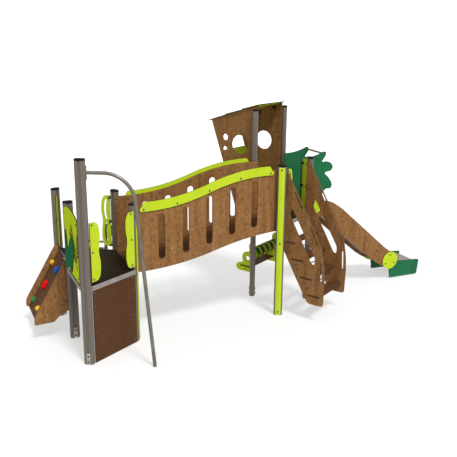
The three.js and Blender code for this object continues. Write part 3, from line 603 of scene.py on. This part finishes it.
CAP_RISE = 0.013
CAP_SKIRT = 0.009
CAP_OVERHANG = 0.0008
bm = bmesh.new()
for node, turn in POST_TURNS.items():
    seat = place(foot(node), turn, up=top(node))
    outline = round_outline(post_outline(CAP_OVERHANG), 0.006, 2)
    slab(bm, outline, -CAP_SKIRT, CAP_RISE, seat, 0.003)
piece("post_caps", bm, CAP_BLACK)

# Lime strips cover one broad face of two posts, down to the ground.
STRIP_WIDTH = 0.074
STRIP_THICK = 0.006
STRIPS = {
    "strip_stair_post": ("post_stair", -30, -1),
    "strip_bridge_post": ("post_bridge_low_near", 60, -1),
}
strip_bolts = []
for name, (node, turn, side) in STRIPS.items():
    height = top(node) - 0.012
    base = place(foot(node), turn, side=side * POST_HALF_WIDTH)
    seat = facing(base, (0, side, 0))
    bm = bmesh.new()
    plate(bm, STRIP_WIDTH, height - 0.01, 0.004, GAP, STRIP_THICK, seat, 0.0012, height / 2)
    piece(name, bm, board_material("lime", level(turn + 90)), "lime_board")
    for up in (0.05, height / 2, height - 0.035):
        strip_bolts.append(seat @ Matrix.Translation((0, up, STRIP_THICK)))
bolts("bolts_strips", strip_bolts)

# Steel plates near the ground hold the anchor legs that stand in the ground.
ANCHOR_WIDTH = 0.037
ANCHOR_HEIGHT = 0.135
ANCHOR_THICK = 0.005
covered = {(node, side) for node, _, side in STRIPS.values()}
bm = bmesh.new()
anchor_bolts = []
for node, turn in POST_TURNS.items():
    for side in (-1, 1):
        if (node, side) in covered:
            continue
        seat = facing(place(foot(node), turn, side=side * POST_HALF_WIDTH), (0, side, 0))
        plate(
            bm, ANCHOR_WIDTH, ANCHOR_HEIGHT, 0.010, GAP, ANCHOR_THICK, seat, 0.0015,
            ANCHOR_HEIGHT / 2, 4,
        )
        for up in (0.035, 0.100):
            anchor_bolts.append(seat @ Matrix.Translation((0, up, ANCHOR_THICK)))
piece("anchor_plates", bm, PLATE_STEEL)
bolts("bolts_anchors", anchor_bolts)


# ---- decks: studs ----
def inside(point, corners):
    """True if a point in plan is inside a convex outline that turns left."""
    for index, corner in enumerate(corners):
        following = corners[(index + 1) % len(corners)]
        edge = following - corner
        if edge.x * (point.y - corner.y) - edge.y * (point.x - corner.x) < 0:
            return False
    return True


STUD_PITCH = 0.048
STUD_ROWS = STUD_PITCH * 0.866
STUD_REACH = 0.88  # the studded part of the way from the deck's middle to the posts
STUD = [(0.0078, -0.001), (0.0072, 0.0008), (0.0050, 0.0019), (0.0016, 0.0023)]


def deck_studs(name, posts, height):
    corners = [foot(node).to_2d() for node in posts]
    centre = sum(corners, Vector((0, 0))) / len(corners)
    corners = [centre + (corner - centre) * STUD_REACH for corner in corners]
    reach = max((corner - centre).length for corner in corners)
    rows = int(reach / STUD_ROWS) + 1
    bm = bmesh.new()
    for row in range(-rows, rows + 1):
        for column in range(-rows - 2, rows + 3):
            shift = 0.5 * (row % 2)
            point = centre + Vector(((column + shift) * STUD_PITCH, row * STUD_ROWS))
            if inside(point, corners):
                lathe(bm, STUD, Matrix.Translation((point.x, point.y, height)), 6)
    # The studs are coloured lighter than the deck board: a painted highlight that stands in for the
    # glint on their tops.
    rubber_with_painted_highlight = moulded(name + "_rubber", ("#3c2f23", "#483a2c", "#554636"))
    piece(name, bm, rubber_with_painted_highlight, "deck_plate", smooth=60)


deck_studs(
    "deck_studs_low",
    (
        "post_fire_pole", "post_bridge_low_near", "post_bridge_low_far", "post_wall_far",
        "post_wall_near",
    ),
    LOW_DECK,
)
deck_studs(
    "deck_studs_high",
    ("post_stair", "post_slide", "post_cabin_far", "post_cabin_near"),
    HIGH_DECK,
)

# ---- low tower: wall, guards and play panel ----
FACE_OFFSET = 0.050
WALL_BOLTS_UP = (0.061, 0.362, 0.664, 0.816)
GUARD_BOLTS_UP = (0.966, 1.264, 1.562)
edge_spots = [(along, up) for along in (0.068, 0.654) for up in WALL_BOLTS_UP + GUARD_BOLTS_UP]
bolts("bolts_pole_edge", on_board(ORIGIN, 30, -FACE_OFFSET, edge_spots, (-1,), SHEET))

PANEL_OUTSIDE = -FACE_OFFSET - SHEET / 2
# In this frame x runs back along the edge, so that points are written as (-along, up).
panel_seat = facing(place(ORIGIN, 0, along=PANEL_OUTSIDE), (-1, 0, 0))
panel_spots = [(-0.075, 0.96), (-0.075, 1.56), (-0.66, 0.96), (-0.66, 1.56)]
panel_bolts = [panel_seat @ Matrix.Translation((x, y, 0)) for x, y in panel_spots]
bolts("bolts_play_panel", panel_bolts)


def smooth_loop(points, steps=6):
    """A closed Catmull-Rom curve through the points."""
    count = len(points)
    result = []
    for index in range(count):
        p0, p1, p2, p3 = (Vector(points[(index + k - 1) % count]) for k in range(4))
        for step in range(steps):
            t = step / steps
            square = (2 * p0 - 5 * p1 + 4 * p2 - p3) * t**2
            cube = (3 * p1 - p0 - 3 * p2 + p3) * t**3
            mixed = 0.5 * (2 * p1 + (p2 - p0) * t + square + cube)
            result.append((mixed.x, mixed.y))
    return result


# A rounded bush on the panel, with a few fronds behind it.
BUSH = [
    (-0.685, 0.925), (-0.60, 0.93), (-0.53, 0.965), (-0.40, 0.93), (-0.35, 0.985), (-0.30, 1.08),
    (-0.225, 1.20), (-0.24, 1.33), (-0.32, 1.36), (-0.42, 1.30), (-0.50, 1.20), (-0.57, 1.18),
    (-0.60, 1.32), (-0.655, 1.36), (-0.69, 1.20),
]
bm = bmesh.new()
slab(bm, smooth_loop(BUSH), GAP, 0.009, panel_seat, 0.001)
piece("panel_bush", bm, board_material("green", X_FACES), "green_board")


def frond(bm, seat, root, tip, sway, width, leaflets):
    """A bent stem with tapering leaflets on both sides, as thin raised strokes."""
    root, tip = Vector(root), Vector(tip)
    along = tip - root
    across = Vector((-along.y, along.x)).normalized()

    def on_stem(t):
        return root + along * t + across * sway * math.sin(math.pi * t)

    def stroke(start, end, thick):
        run = (end - start).normalized()
        wide = Vector((-run.y, run.x)) * thick
        root_side = wide * 0.4
        belly = (start + end) / 2 + root_side
        outline = [start + root_side, start - root_side, belly - wide, end, belly + wide]
        slab(bm, [(p.x, p.y) for p in outline], 0.0002, 0.0012, seat)

    steps = 6
    for index in range(steps):
        start, end = on_stem(index / steps), on_stem((index + 1.15) / steps)
        stroke(start, end, width * (1.2 - index / steps))
    for index in range(leaflets):
        t = 0.15 + 0.8 * index / leaflets
        start = on_stem(t)
        length = along.length * 0.42 * (1 - 0.6 * t)
        for turn in (-1, 1):
            lean = (along.normalized() + across * turn * 0.75).normalized()
            stroke(start, start + lean * length, width * 0.75)


bm = bmesh.new()
frond(bm, panel_seat, (-0.10, 1.04), (-0.34, 1.50), 0.03, 0.013, 7)
frond(bm, panel_seat, (-0.12, 1.12), (-0.05, 1.46), -0.02, 0.010, 5)
frond(bm, panel_seat, (-0.17, 1.14), (-0.42, 1.42), 0.02, 0.010, 6)
piece("panel_fronds", bm, board_material("brown", X_FACES), "brown_board", smooth=0)

# ---- fireman's pole ----
POLE_TOP = 2.121
POLE_REACH = 0.534
POLE_FOOT = 0.723
POLE_BEND = 0.292
pole_frame = place(ORIGIN, -30)


def pole_point(along, up):
    return pole_frame @ Vector((along, 0, up))


corner = pole_point(POLE_REACH, POLE_TOP)
ground = pole_point(POLE_FOOT, 0.003)
before = corner + (pole_point(0, POLE_TOP) - corner).normalized() * POLE_BEND
after = corner + (ground - corner).normalized() * POLE_BEND
start = pole_point(POST_HALF_LENGTH + 0.001, POLE_TOP)
path = [start, start.lerp(before, 0.5), before]
BEND_PULL = 0.566
path += cubic(before, before.lerp(corner, BEND_PULL), after.lerp(corner, BEND_PULL), after, 28)
path += [after.lerp(ground, t) for t in (0.25, 0.5, 0.75)] + [ground.lerp(after, 0.004), ground]
radii = [TUBE / 2] * (len(path) - 1) + [TUBE / 2 - 0.005]
bm = bmesh.new()
sweep(bm, path, radii, 24)
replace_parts(piece("pole_tube", bm, POLE_STEEL, "steel_tube", smooth=40), "fire_pole")
FLANGE_FACE = 0.009
flange = facing(place(ORIGIN, -30, along=POST_HALF_LENGTH), (1, 0, 0))
bm = bmesh.new()
plate(bm, 0.028, 0.150, 0.010, 0.001, FLANGE_FACE, flange, 0.002, POLE_TOP, 4)
piece("pole_flange", bm, POLE_STEEL, "steel_tube")
pole_seats = [
    flange @ Matrix.Translation((0, POLE_TOP + up, FLANGE_FACE)) for up in (-0.052, 0.052)
]
pole_back = facing(place(ORIGIN, -30, side=-POST_HALF_WIDTH + GROOVE_DEPTH), (0, -1, 0))
pole_seats += [pole_back @ Matrix.Translation((0.012, up, 0)) for up in (2.090, 2.170)]
bolts("bolts_pole", pole_seats)

# ---- arched ladder ----
ARCH_REACH = 0.620
ARCH_HALF = 0.210
ARCH_HEAD = 0.095
ARCH_RUNGS = [(0.600, 0.225), (0.577, 0.430), (0.545, 0.640), (0.470, 0.850)]
RUNG_RADIUS = 0.014
BRACKET_BACK = 0.048
arch_middle = (foot("post_wall_far") + foot("post_bridge_low_far")) / 2
arch_frame = place(arch_middle, -30)


def arch_point(across, out, up):
    return arch_frame @ Vector((across, out, up))


def arch_rail(across):
    shoulder = LOW_DECK + 0.150
    head = arch_point(across, ARCH_HEAD, shoulder)
    knee = arch_point(across, ARCH_REACH - 0.060, LOW_DECK - 0.250)
    low = arch_point(across, ARCH_REACH, 0.002)
    rail = [arch_point(across, ARCH_HEAD, LOW_DECK + up) for up in (-0.030, 0.06)] + [head]
    rail += cubic(
        head,
        arch_point(across, ARCH_HEAD + 0.020, shoulder + 0.230),
        arch_point(across, ARCH_REACH - 0.150, shoulder + 0.080),
        knee,
        30,
    )
    return rail + [knee.lerp(low, 0.5), low]


bm = bmesh.new()
for across in (-ARCH_HALF, ARCH_HALF):
    sweep(bm, arch_rail(across), TUBE / 2, 22)
for out, up in ARCH_RUNGS + [(ARCH_HEAD, LOW_DECK - 0.020)]:
    bar(bm, arch_point(-ARCH_HALF, out, up), arch_point(ARCH_HALF, out, up), RUNG_RADIUS, 18)
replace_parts(piece("arch_tubes", bm, POLE_STEEL, "steel_tube", smooth=40), "arch_climber")
bm = bmesh.new()
for across in (-ARCH_HALF, ARCH_HALF):
    rail = arch_rail(across)[8:20]
    end_radius = TUBE / 2 + 0.001
    radii = [end_radius] + [TUBE / 2 + 0.0035] * (len(rail) - 2) + [end_radius]
    sweep(bm, rail, radii, 22)
piece("arch_grips", bm, GRIP_GREEN, smooth=40)
bm = bmesh.new()
for across in (-ARCH_HALF, ARCH_HALF):
    back = place(arch_middle, -30, across, BRACKET_BACK, LOW_DECK - 0.027)
    reach = ARCH_HEAD - BRACKET_BACK - 0.012
    plate(bm, 0.060, 0.050, 0.008, -0.02, reach, facing(back, (0, 1, 0)), 0.002)
piece("arch_brackets", bm, GALVANISED, "steel_tube")

# ---- climbing wall: holds and bolts ----
wall_middle = ORIGIN + Vector((0, 1.5 * GRID, 0))
wall_foot = ORIGIN + Vector((-0.423, 1.5 * GRID, 0.205))
wall_frame = Matrix.Translation(wall_foot) @ Matrix.Rotation(-WALL_SLOPE, 4, "Y")
# Each hold: piece, node, place up the slope and across, length, width, height, seed and how
# craggy it is.
HOLDS = [
    ("resin_hold_yellow_top", "hold_yellow_top", 0.634, 0.252, 0.076, 0.068, 0.042, 3.0, 0.20),
    ("resin_hold_blue", "hold_blue", 0.630, -0.045, 0.106, 0.084, 0.046, 11.0, 0.28),
    ("resin_hold_red", "hold_red", 0.374, 0.090, 0.150, 0.088, 0.050, 23.0, 0.30),
    ("resin_hold_green", "hold_green", 0.119, 0.231, 0.092, 0.066, 0.040, 31.0, 0.16),
    ("resin_hold_yellow_low", "hold_yellow_low", 0.116, -0.069, 0.080, 0.058, 0.038, 47.0, 0.16),
]
DISH_RADIUS = 0.17  # of the hollow round the bolt, on a ball of radius 1
DISH_DEPTH = 0.22
hold_seats = []
for name, node, up, across, length, width, height, seed, crag in HOLDS:
    bm = bmesh.new()
    bmesh.ops.create_icosphere(bm, subdivisions=5, radius=1.0)
    for vert in bm.verts:
        ball = vert.co.copy()
        coarse = noise.noise(ball * 1.7 + Vector((seed, 0, 0)))
        ridged = abs(noise.noise(ball * 3.4 + Vector((0, seed, 0))))
        fine = noise.noise(ball * 11 + Vector((0, 0, seed)))
        scale = 0.93 + crag * (coarse * 0.5 - ridged * 0.7) + 0.018 * fine
        dish = 0.0
        if ball.z > 0:
            dish = max(0.0, 1 - (ball.to_2d().length / DISH_RADIUS) ** 4) * DISH_DEPTH
        lift = max(ball.z * scale, 0.0) * height * (1 - dish) + 0.0004
        x = up + ball.x * scale * length / 2
        y = across + ball.y * scale * width / 2
        vert.co = wall_frame @ Vector((x, y, lift))
    colour = node.split("_")[1]
    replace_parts(piece(name, bm, RESIN[colour], f"hold_{colour}", smooth=70), node)
    hold_seats.append(wall_frame @ Matrix.Translation((up, across, height * 0.70)))
bolts("bolts_holds", hold_seats)

cheek_spots = [(-0.194, 0.530), (-0.326, 0.292), (-0.075, 0.86), (-0.075, 0.45)]
cheek_seats = on_board(wall_middle, 0, -0.320, cheek_spots, (-1,))
cheek_seats += on_board(wall_middle, 0, 0.310, cheek_spots, (1,))
bolts("bolts_climb_cheeks", cheek_seats)

# ---- handles: clamps and bolts ----
# A second grip faces the one beside the climbing wall.
far_grip = place(foot("post_wall_far"), -90)
bm = bmesh.new()
bm.from_mesh(NODES["handle_climb"].data)
moved = place(foot("post_wall_near"), 90) @ far_grip.inverted() @ NODES["handle_climb"].matrix_world
bmesh.ops.transform(bm, matrix=moved, verts=bm.verts)
bmesh.ops.remove_doubles(bm, verts=bm.verts, dist=WELD)
piece("grip_climb_near", bm, board_material("lime", X_FACES), "lime_board")

# Each grip: its post, its turn in plan, the near and far end of its clamps, its deck.
POST_SIDE = POST_HALF_WIDTH + 0.002
HANDLES = [
    ("post_bridge_low_far", 150, POST_SIDE, 0.059, LOW_DECK),
    ("post_wall_far", -90, POST_SIDE, 0.052, LOW_DECK),
    ("post_wall_near", 90, POST_SIDE, 0.052, LOW_DECK),
    ("post_stair", 30, INSET + BOARD / 2, 0.134, HIGH_DECK),
]
CLAMP_UP = (0.061, 0.366, 0.665)
CLAMP_WIDTH = 0.031
CLAMP_HEIGHT = 0.026
CLAMP_SHIFT = 0.010  # past the middle between its two ends
CLAMP_EXTRA = 0.024
clamps = bmesh.new()
clamp_seats = []
for post, turn, near_end, far_end, deck in HANDLES:
    reach = far_end - near_end
    for up in CLAMP_UP:
        seat = place(foot(post), turn, far_end - reach / 2 + CLAMP_SHIFT, 0, deck + up)
        base = seat @ Matrix.Translation((0, 0, -CLAMP_HEIGHT / 2))
        plate(clamps, reach + CLAMP_EXTRA, CLAMP_WIDTH, 0.007, 0.0, CLAMP_HEIGHT, base, 0.003)
        for side in (-1, 1):
            flank = seat @ Matrix.Translation((0.008, side * CLAMP_WIDTH / 2, 0))
            clamp_seats.append(facing(flank, (0, side, 0)))
piece("handle_clamps", clamps, CLAMP_BLACK)
bolts("bolts_clamps", clamp_seats)

# ---- bridge: bolts and angles ----
STEP = 0.300
BRIDGE_INSET = 0.066
NEAR_PANEL = HALF + BRIDGE_INSET
FAR_PANEL = 3 * HALF - BRIDGE_INSET
bridge_start = Vector((foot("post_bridge_low_near").x, ORIGIN.y, 0))


def rise(x, begin, length):
    t = min(max((x - begin) / length, 0), 1)
    return STEP * (2 * t * t if t < 0.5 else 1 - 2 * (1 - t) ** 2)


def upper_curve(x):
    """The curve that the rails follow, at the height of the walking board."""
    return LOW_DECK + rise(x, 0.152, 1.600)


def lower_curve(x):
    """The curve of the walking board."""
    return LOW_DECK + rise(x, 0.060, 2.000)


def on_panels(inner, outer):
    """Bolt seats on the inner and on the outer faces of both bridge panels."""
    seats = on_board(bridge_start, 0, NEAR_PANEL, inner, (1,))
    seats += on_board(bridge_start, 0, FAR_PANEL, inner, (-1,))
    seats += on_board(bridge_start, 0, NEAR_PANEL, outer, (-1,))
    seats += on_board(bridge_start, 0, FAR_PANEL, outer, (1,))
    return seats


RAIL_PLANE = (BOARD + SHEET) / 2 + GAP
RAIL_UP = 0.660
ANGLE_DROP = 0.055
rail_spots = [(x, upper_curve(x) + RAIL_UP) for x in (0.145, 0.553, 0.959, 1.367, 1.773)]
angle_spots = [
    (x, lower_curve(x) - ANGLE_DROP) for x in (0.230, 0.399, 0.619, 0.972, 1.324, 1.640)
]
end_spots = [(0.007, 1.564), (0.007, 0.962), (BRIDGE - 0.007, 1.860), (BRIDGE - 0.007, 1.262)]
rail_seats = on_board(bridge_start, 0, NEAR_PANEL - RAIL_PLANE, rail_spots, (-1,), SHEET)
rail_seats += on_board(bridge_start, 0, FAR_PANEL + RAIL_PLANE, rail_spots, (1,), SHEET)
bolts("bolts_bridge_rails", rail_seats)
bolts("bolts_bridge_panels", on_panels(rail_spots + end_spots, angle_spots))

# Steel angles under the walking board carry it on the panels.
ANGLE_LENGTH = 0.060
ANGLE_WIDTH = 0.050
ANGLE_THICK = 0.005
bm = bmesh.new()
for plane, inward in ((NEAR_PANEL + BOARD / 2, 1), (FAR_PANEL - BOARD / 2, -1)):
    for x, up in angle_spots:
        leg = facing(place(bridge_start, 0, x, plane + inward * GAP, up), (0, inward, 0))
        tilt = math.atan((lower_curve(x + 0.01) - lower_curve(x - 0.01)) / 0.02)
        shelf_middle = plane + inward * (ANGLE_WIDTH / 2 + GAP)
        shelf = place(bridge_start, 0, x, shelf_middle, up + ANGLE_DROP / 2)
        for flat in (leg, shelf @ Matrix.Rotation(-tilt, 4, "Y")):
            plate(bm, ANGLE_LENGTH, ANGLE_WIDTH, 0.006, 0.0, ANGLE_THICK, flat)
piece("bridge_angles", bm, GALVANISED)

# ---- cabin ----
cabin_places = between("post_cabin_near", "post_cabin_far")

# Along the walls, outwards from the posts; the outer face of the near wall looks to the local +Y.
ROOF_BOLTS = [(0.120, 2.538), (0.371, 2.453), (0.626, 2.367)]
wall_spots = ROOF_BOLTS + [(0.544, 1.933), (0.330, 1.290), (0.425, 1.600)]
wall_spots += [(0.014, up) for up in (2.457, 2.154, 1.855, 1.555, 1.255)]
cabin_seats = []
for origin in cabin_places:
    cabin_seats += on_board(origin, 120, 0.0, wall_spots)
bolts("bolts_cabin", cabin_seats)

# Black angles under the roof boards, on the inner side of each wall.
bm = bmesh.new()
for origin, inward in zip(cabin_places, (-1, 1)):
    for along, up in ROOF_BOLTS:
        seat = place(origin, 120, along, inward * (BOARD / 2 + GAP), up)
        plate(bm, 0.050, 0.045, 0.006, 0.0, 0.006, facing(seat, (0, inward, 0)))
piece("roof_angles", bm, CLAMP_BLACK)

# ---- stairs: tie rods and bolts ----
stair_places = between("post_stair", "post_slide")
TIE_RODS = [(0.125, 0.861), (0.250, 0.647), (0.378, 0.432)]
TREAD_BOLTS = [(0.466, 0.278), (0.341, 0.495), (0.212, 0.710), (0.100, 0.925)]
POST_BOLTS = [(0.005, 1.855), (0.005, 1.558), (0.005, 1.257)]
ROD_RADIUS = 0.007
bm = bmesh.new()
for along, up in TIE_RODS:
    ends = [place(origin, -60, along, 0, up).translation for origin in stair_places]
    bar(bm, *ends, ROD_RADIUS, 16)
piece("stair_tie_rods", bm, GALVANISED, "steel_tube", smooth=50)
stair_seats = []
for origin in stair_places:
    stair_seats += on_board(origin, -60, 0.0, TIE_RODS + TREAD_BOLTS + POST_BOLTS)
bolts("bolts_stairs", stair_seats)

# ---- slide: discs, bolts and the bar between the leaves ----
SLIDE_HALF = 0.223
slide_middle = Vector((FAR_EAST, ORIGIN.y + 1.5 * GRID, 0))
DISC_RADIUS = 0.132
DISC_THICK = 0.010
DISC_BOLTS = 0.085
# Each disc: place along and up, and the turn of its first bolt.
DISC_SPOTS = {"low": (1.532, 0.296, 90), "high": (0.155, 1.272, 30)}
SLIDE_SPOTS = [
    (1.10, 0.66), (0.62, 1.06), (0.40, 1.20), (1.30, 0.47),
    (1.90, 0.14), (2.02, 0.10), (1.68, 0.10),
]
slide_seats = []
for side_name, side in (("near", -1), ("far", 1)):
    for level_name, (along, up, turn) in DISC_SPOTS.items():
        face = place(slide_middle, 0, along, side * (SLIDE_HALF + BOARD / 2), up)
        seat = facing(face, (0, side, 0))
        outline = [(point.x, point.y) for point in around(DISC_RADIUS, 56)]
        bm = bmesh.new()
        slab(bm, outline, 0.0006, DISC_THICK, seat, 0.0015)
        piece(f"disc_{level_name}_{side_name}", bm, board_material("lime", Y_FACES), "lime_board")
        for angle in (turn, turn + 120, turn + 240):
            spoke = Vector(level(angle)) * DISC_BOLTS
            slide_seats.append(seat @ Matrix.Translation((spoke.x, spoke.y, DISC_THICK)))
    slide_seats += on_board(slide_middle, 0, side * SLIDE_HALF, SLIDE_SPOTS, (side,))
bolts("bolts_slide", slide_seats)

BAR_ALONG = 0.292
BAR_UP = 1.966
BAR_RADIUS = 0.0135
bm = bmesh.new()
reach = SLIDE_HALF - SHEET / 2
ends = [place(slide_middle, 0, BAR_ALONG, side * reach, BAR_UP).translation for side in (-1, 1)]
bar(bm, *ends, BAR_RADIUS, 22)
piece("leaf_bar", bm, POLE_STEEL, "steel_tube", smooth=50)

# The filler board of the far side, and black brackets at both fillers. The outs are the
# middles of the near and of the far board, measured from the posts towards the slide.
FILLER_OUT = {-1: -0.038, 1: 0.034}
FILLER_LOW = HIGH_DECK + 0.015
FILLER_HIGH = HIGH_DECK + 0.690
FILLER_BOLTS_UP = (1.265, 1.566, 1.865)
LEAF_FACE = SLIDE_HALF + SHEET / 2
BRACKET = 0.034
FLANK_OUT = -0.0545
bm = bmesh.new()
far_side = facing(place(slide_middle, 0, FILLER_OUT[1]), (-1, 0, 0))
inner = -(SLIDE_HALF + BOARD / 2 + 0.002)
outer = -(HALF - 0.018)
outline = [(outer, FILLER_LOW), (inner, FILLER_LOW), (inner, FILLER_HIGH), (outer, FILLER_HIGH)]
slab(bm, round_outline(outline, 0.008, 3), -SHEET / 2, SHEET / 2, far_side, 0.001)
piece("slide_filler_far", bm, board_material("lime", X_FACES), "lime_board")
bm = bmesh.new()
for side, out in FILLER_OUT.items():
    for up in FILLER_BOLTS_UP:
        for across in (LEAF_FACE + 0.019, HALF - 0.020):
            back = place(slide_middle, 0, out - SHEET / 2, side * across, up)
            plate(bm, BRACKET, BRACKET, 0.005, GAP, 0.005, facing(back, (-1, 0, 0)))
for up in FILLER_BOLTS_UP:
    flank = place(slide_middle, 0, FLANK_OUT, -(LEAF_FACE + GAP), up)
    plate(bm, 0.018, BRACKET, 0.004, 0.0, 0.004, facing(flank, (0, -1, 0)))
piece("filler_brackets", bm, CLAMP_BLACK)
leaf_spots = [(BAR_ALONG, BAR_UP), (0.012, 1.86), (0.012, 1.56), (0.14, 1.36)]
leaf_seats = []
for side in (-1, 1):
    leaf_seats += on_board(slide_middle, 0, side * SLIDE_HALF, leaf_spots, (side,), SHEET)
bolts("bolts_leaves", leaf_seats)

# ---- bench beads: two wavy discs and a hub on each bead's body ----
AXLE_RADIUS = 0.011
BORE = AXLE_RADIUS + 0.0015
BEAD_RADIUS = 0.080
BEAD_LOBES = 6
BEAD_WAVE = 0.07  # as a part of the radius
BEAD_DISC = 0.019
HUB_RADIUS = 0.024
HUB_ROOM = 0.002
bead_pitch = (GRID - 2 * INSET - BOARD - HUB_ROOM) / 10
axle_axis = Vector(level(30))


def ring_solid(bm, outer, low, high, matrix, soft):
    """A bored disc or hub: outer is a function from angle to radius."""
    def less(amount):
        return lambda angle: outer(angle) - amount

    rows = [
        (less(soft), low),
        (less(soft * 0.3), low + soft * 0.3),
        (outer, low + soft),
        (outer, high - soft),
        (less(soft * 0.3), high - soft * 0.3),
        (less(soft), high),
        (BORE, high),
        (BORE, low),
    ]
    rings = []
    for radius, height in rows:
        rings.append([bm.verts.new(matrix @ point) for point in around(radius, 72, height)])
    join_rings(bm, rings + rings[:1], ends=False)


def wavy(angle):
    return BEAD_RADIUS * (1 - BEAD_WAVE + BEAD_WAVE * math.cos(BEAD_LOBES * angle))


# The colours of the ten discs, two on each body, repeat after four.
BEAD_COLOURS = ["lime", "green", "lime", "brown"]
for number in range(1, 6):
    node = f"bead_{number}"
    body = f"bead_roller_{number}"
    low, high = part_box(node)
    axle_low, axle_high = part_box("bead_axle")
    centre = (low + high) / 2
    centre.z = (axle_low.z + axle_high.z) / 2
    seat = facing(Matrix.Translation(centre), axle_axis)
    for half in (0, 1):
        colour = BEAD_COLOURS[(2 * (number - 1) + half) % len(BEAD_COLOURS)]
        laminate = board_material(colour, tuple(axle_axis))
        height = (half - 0.5) * bead_pitch
        bm = bmesh.new()
        ring_solid(bm, wavy, height - BEAD_DISC / 2, height + BEAD_DISC / 2, seat, 0.004)
        piece(f"bead_disc_{number}_{'ab'[half]}", bm, laminate, f"{colour}_board", body)
    bm = bmesh.new()
    reach = bead_pitch - HUB_ROOM
    ring_solid(bm, lambda a: HUB_RADIUS, -reach, reach, seat, 0.001)
    hub = piece(f"bead_hub_{number}", bm, CLAMP_BLACK, body=body)
    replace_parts(hub, node)

# ---- bench bolts ----
bench_spots = [(0.022, 0.700), (0.022, 0.330), (0.155, 0.340)]
bench_seats = []
for origin in cabin_places:
    bench_seats += on_board(origin, 120, 0.0, bench_spots)
bolts("bolts_bench", bench_seats)

# ---- floor, light and camera ----
FLOOR_FLAT = 20.0
FLOOR_BEND = 6.0
FLOOR_SIDES = 96
WALL_HEIGHT = 16.0
PALE_FROM = 5.0
PALE_TO = 11.0
GLOW_NEAR = 0.56
GLOW_FAR = 1.0
FLOOR_COLOUR = (0.37, 0.37, 0.365, 1)
SKY_STRENGTH = 0.66
SUN_STRENGTH = 2.5
SUN_SPREAD = math.radians(12)
SUN_TRAVEL = Vector((-0.08, 0.60, -1.0))


def floor_finish():
    """Pale and evenly lit far away, with soft shadows near the object."""
    finish = Finish("floor")
    tree = finish.tree
    tree.nodes.remove(finish.shader)
    distance = finish.node("ShaderNodeVectorMath", operation="LENGTH")
    finish.link(finish.coordinates, distance.inputs[0])
    spread = finish.node("ShaderNodeMapRange")
    spread.inputs["From Min"].default_value = PALE_FROM
    spread.inputs["From Max"].default_value = PALE_TO
    spread.inputs["To Min"].default_value = GLOW_NEAR
    spread.inputs["To Max"].default_value = GLOW_FAR
    finish.link(distance.outputs["Value"], spread.inputs["Value"])
    glow = finish.node("ShaderNodeEmission")
    finish.link(spread.outputs["Result"], glow.inputs["Strength"])
    matt = finish.node("ShaderNodeBsdfDiffuse")
    matt.inputs["Color"].default_value = FLOOR_COLOUR
    both = finish.node("ShaderNodeAddShader")
    finish.link(glow.outputs["Emission"], both.inputs[0])
    finish.link(matt.outputs["BSDF"], both.inputs[1])
    finish.link(both.outputs["Shader"], tree.nodes["Material Output"].inputs["Surface"])
    return finish.material


bm = bmesh.new()
profile = [(4.0, 0.0), (8.0, 0.0), (14.0, 0.0), (FLOOR_FLAT, 0.0)]
for step in range(1, 9):
    bend = math.pi / 2 * step / 8
    radius = FLOOR_FLAT + FLOOR_BEND * math.sin(bend)
    profile.append((radius, FLOOR_BEND * (1 - math.cos(bend))))
profile.append((FLOOR_FLAT + FLOOR_BEND, WALL_HEIGHT))
rings = []
for radius, height in profile:
    rings.append([bm.verts.new(point) for point in around(radius, FLOOR_SIDES, height)])
bm.faces.new(rings[0])
# From the outside in, so that the faces look inwards.
join_rings(bm, list(reversed(rings)), ends=False)
mesh = bpy.data.meshes.new("floor")
bm.to_mesh(mesh)
bm.free()
for face in mesh.polygons:
    face.use_smooth = True
mesh.materials.append(floor_finish())
floor = bpy.data.objects.new("floor", mesh)
bpy.context.scene.collection.objects.link(floor)
floor.location.z = -GAP
floor.visible_diffuse = False
floor.visible_glossy = False
floor.visible_shadow = False

world = bpy.data.worlds.new("studio")
world.use_nodes = True
sky = world.node_tree.nodes["Background"]
sky.inputs["Color"].default_value = (1.0, 1.0, 1.0, 1.0)
sky.inputs["Strength"].default_value = SKY_STRENGTH
bpy.context.scene.world = world

sun = bpy.data.lights.new("key", "SUN")
sun.energy = SUN_STRENGTH
sun.angle = SUN_SPREAD
key = bpy.data.objects.new("key", sun)
key.rotation_mode = "QUATERNION"
key.rotation_quaternion = SUN_TRAVEL.to_track_quat("-Z", "Y")
bpy.context.scene.collection.objects.link(key)

bpy.context.scene.view_settings.view_transform = "Standard"
bpy.context.scene.view_settings.look = "None"

CAMERA_YAW = math.radians(65.007)
CAMERA_PITCH = math.radians(15.80)
CAMERA_ROLL = -0.00986
CAMERA_LENS = 51.8
CAMERA_PLACE = Vector((-1.394, -6.544, 3.394))  # from the foot of the pole's post
forward = Vector((
    math.cos(CAMERA_YAW) * math.cos(CAMERA_PITCH),
    math.sin(CAMERA_YAW) * math.cos(CAMERA_PITCH),
    -math.sin(CAMERA_PITCH),
))
right = Vector((math.sin(CAMERA_YAW), -math.cos(CAMERA_YAW), 0))
down = forward.cross(right)
rolled_right = right * math.cos(CAMERA_ROLL) + down * math.sin(CAMERA_ROLL)
rolled_down = down * math.cos(CAMERA_ROLL) - right * math.sin(CAMERA_ROLL)
lens = bpy.data.cameras.new("camera")
lens.sensor_width = 36.0
lens.lens = CAMERA_LENS
lens.clip_start = 0.1
lens.clip_end = 100.0
camera = bpy.data.objects.new("camera", lens)
axes = Matrix((rolled_right, -rolled_down, -forward)).transposed().to_4x4()
camera.matrix_world = Matrix.Translation(ORIGIN + CAMERA_PLACE) @ axes
bpy.context.scene.collection.objects.link(camera)
bpy.context.scene.camera = camera
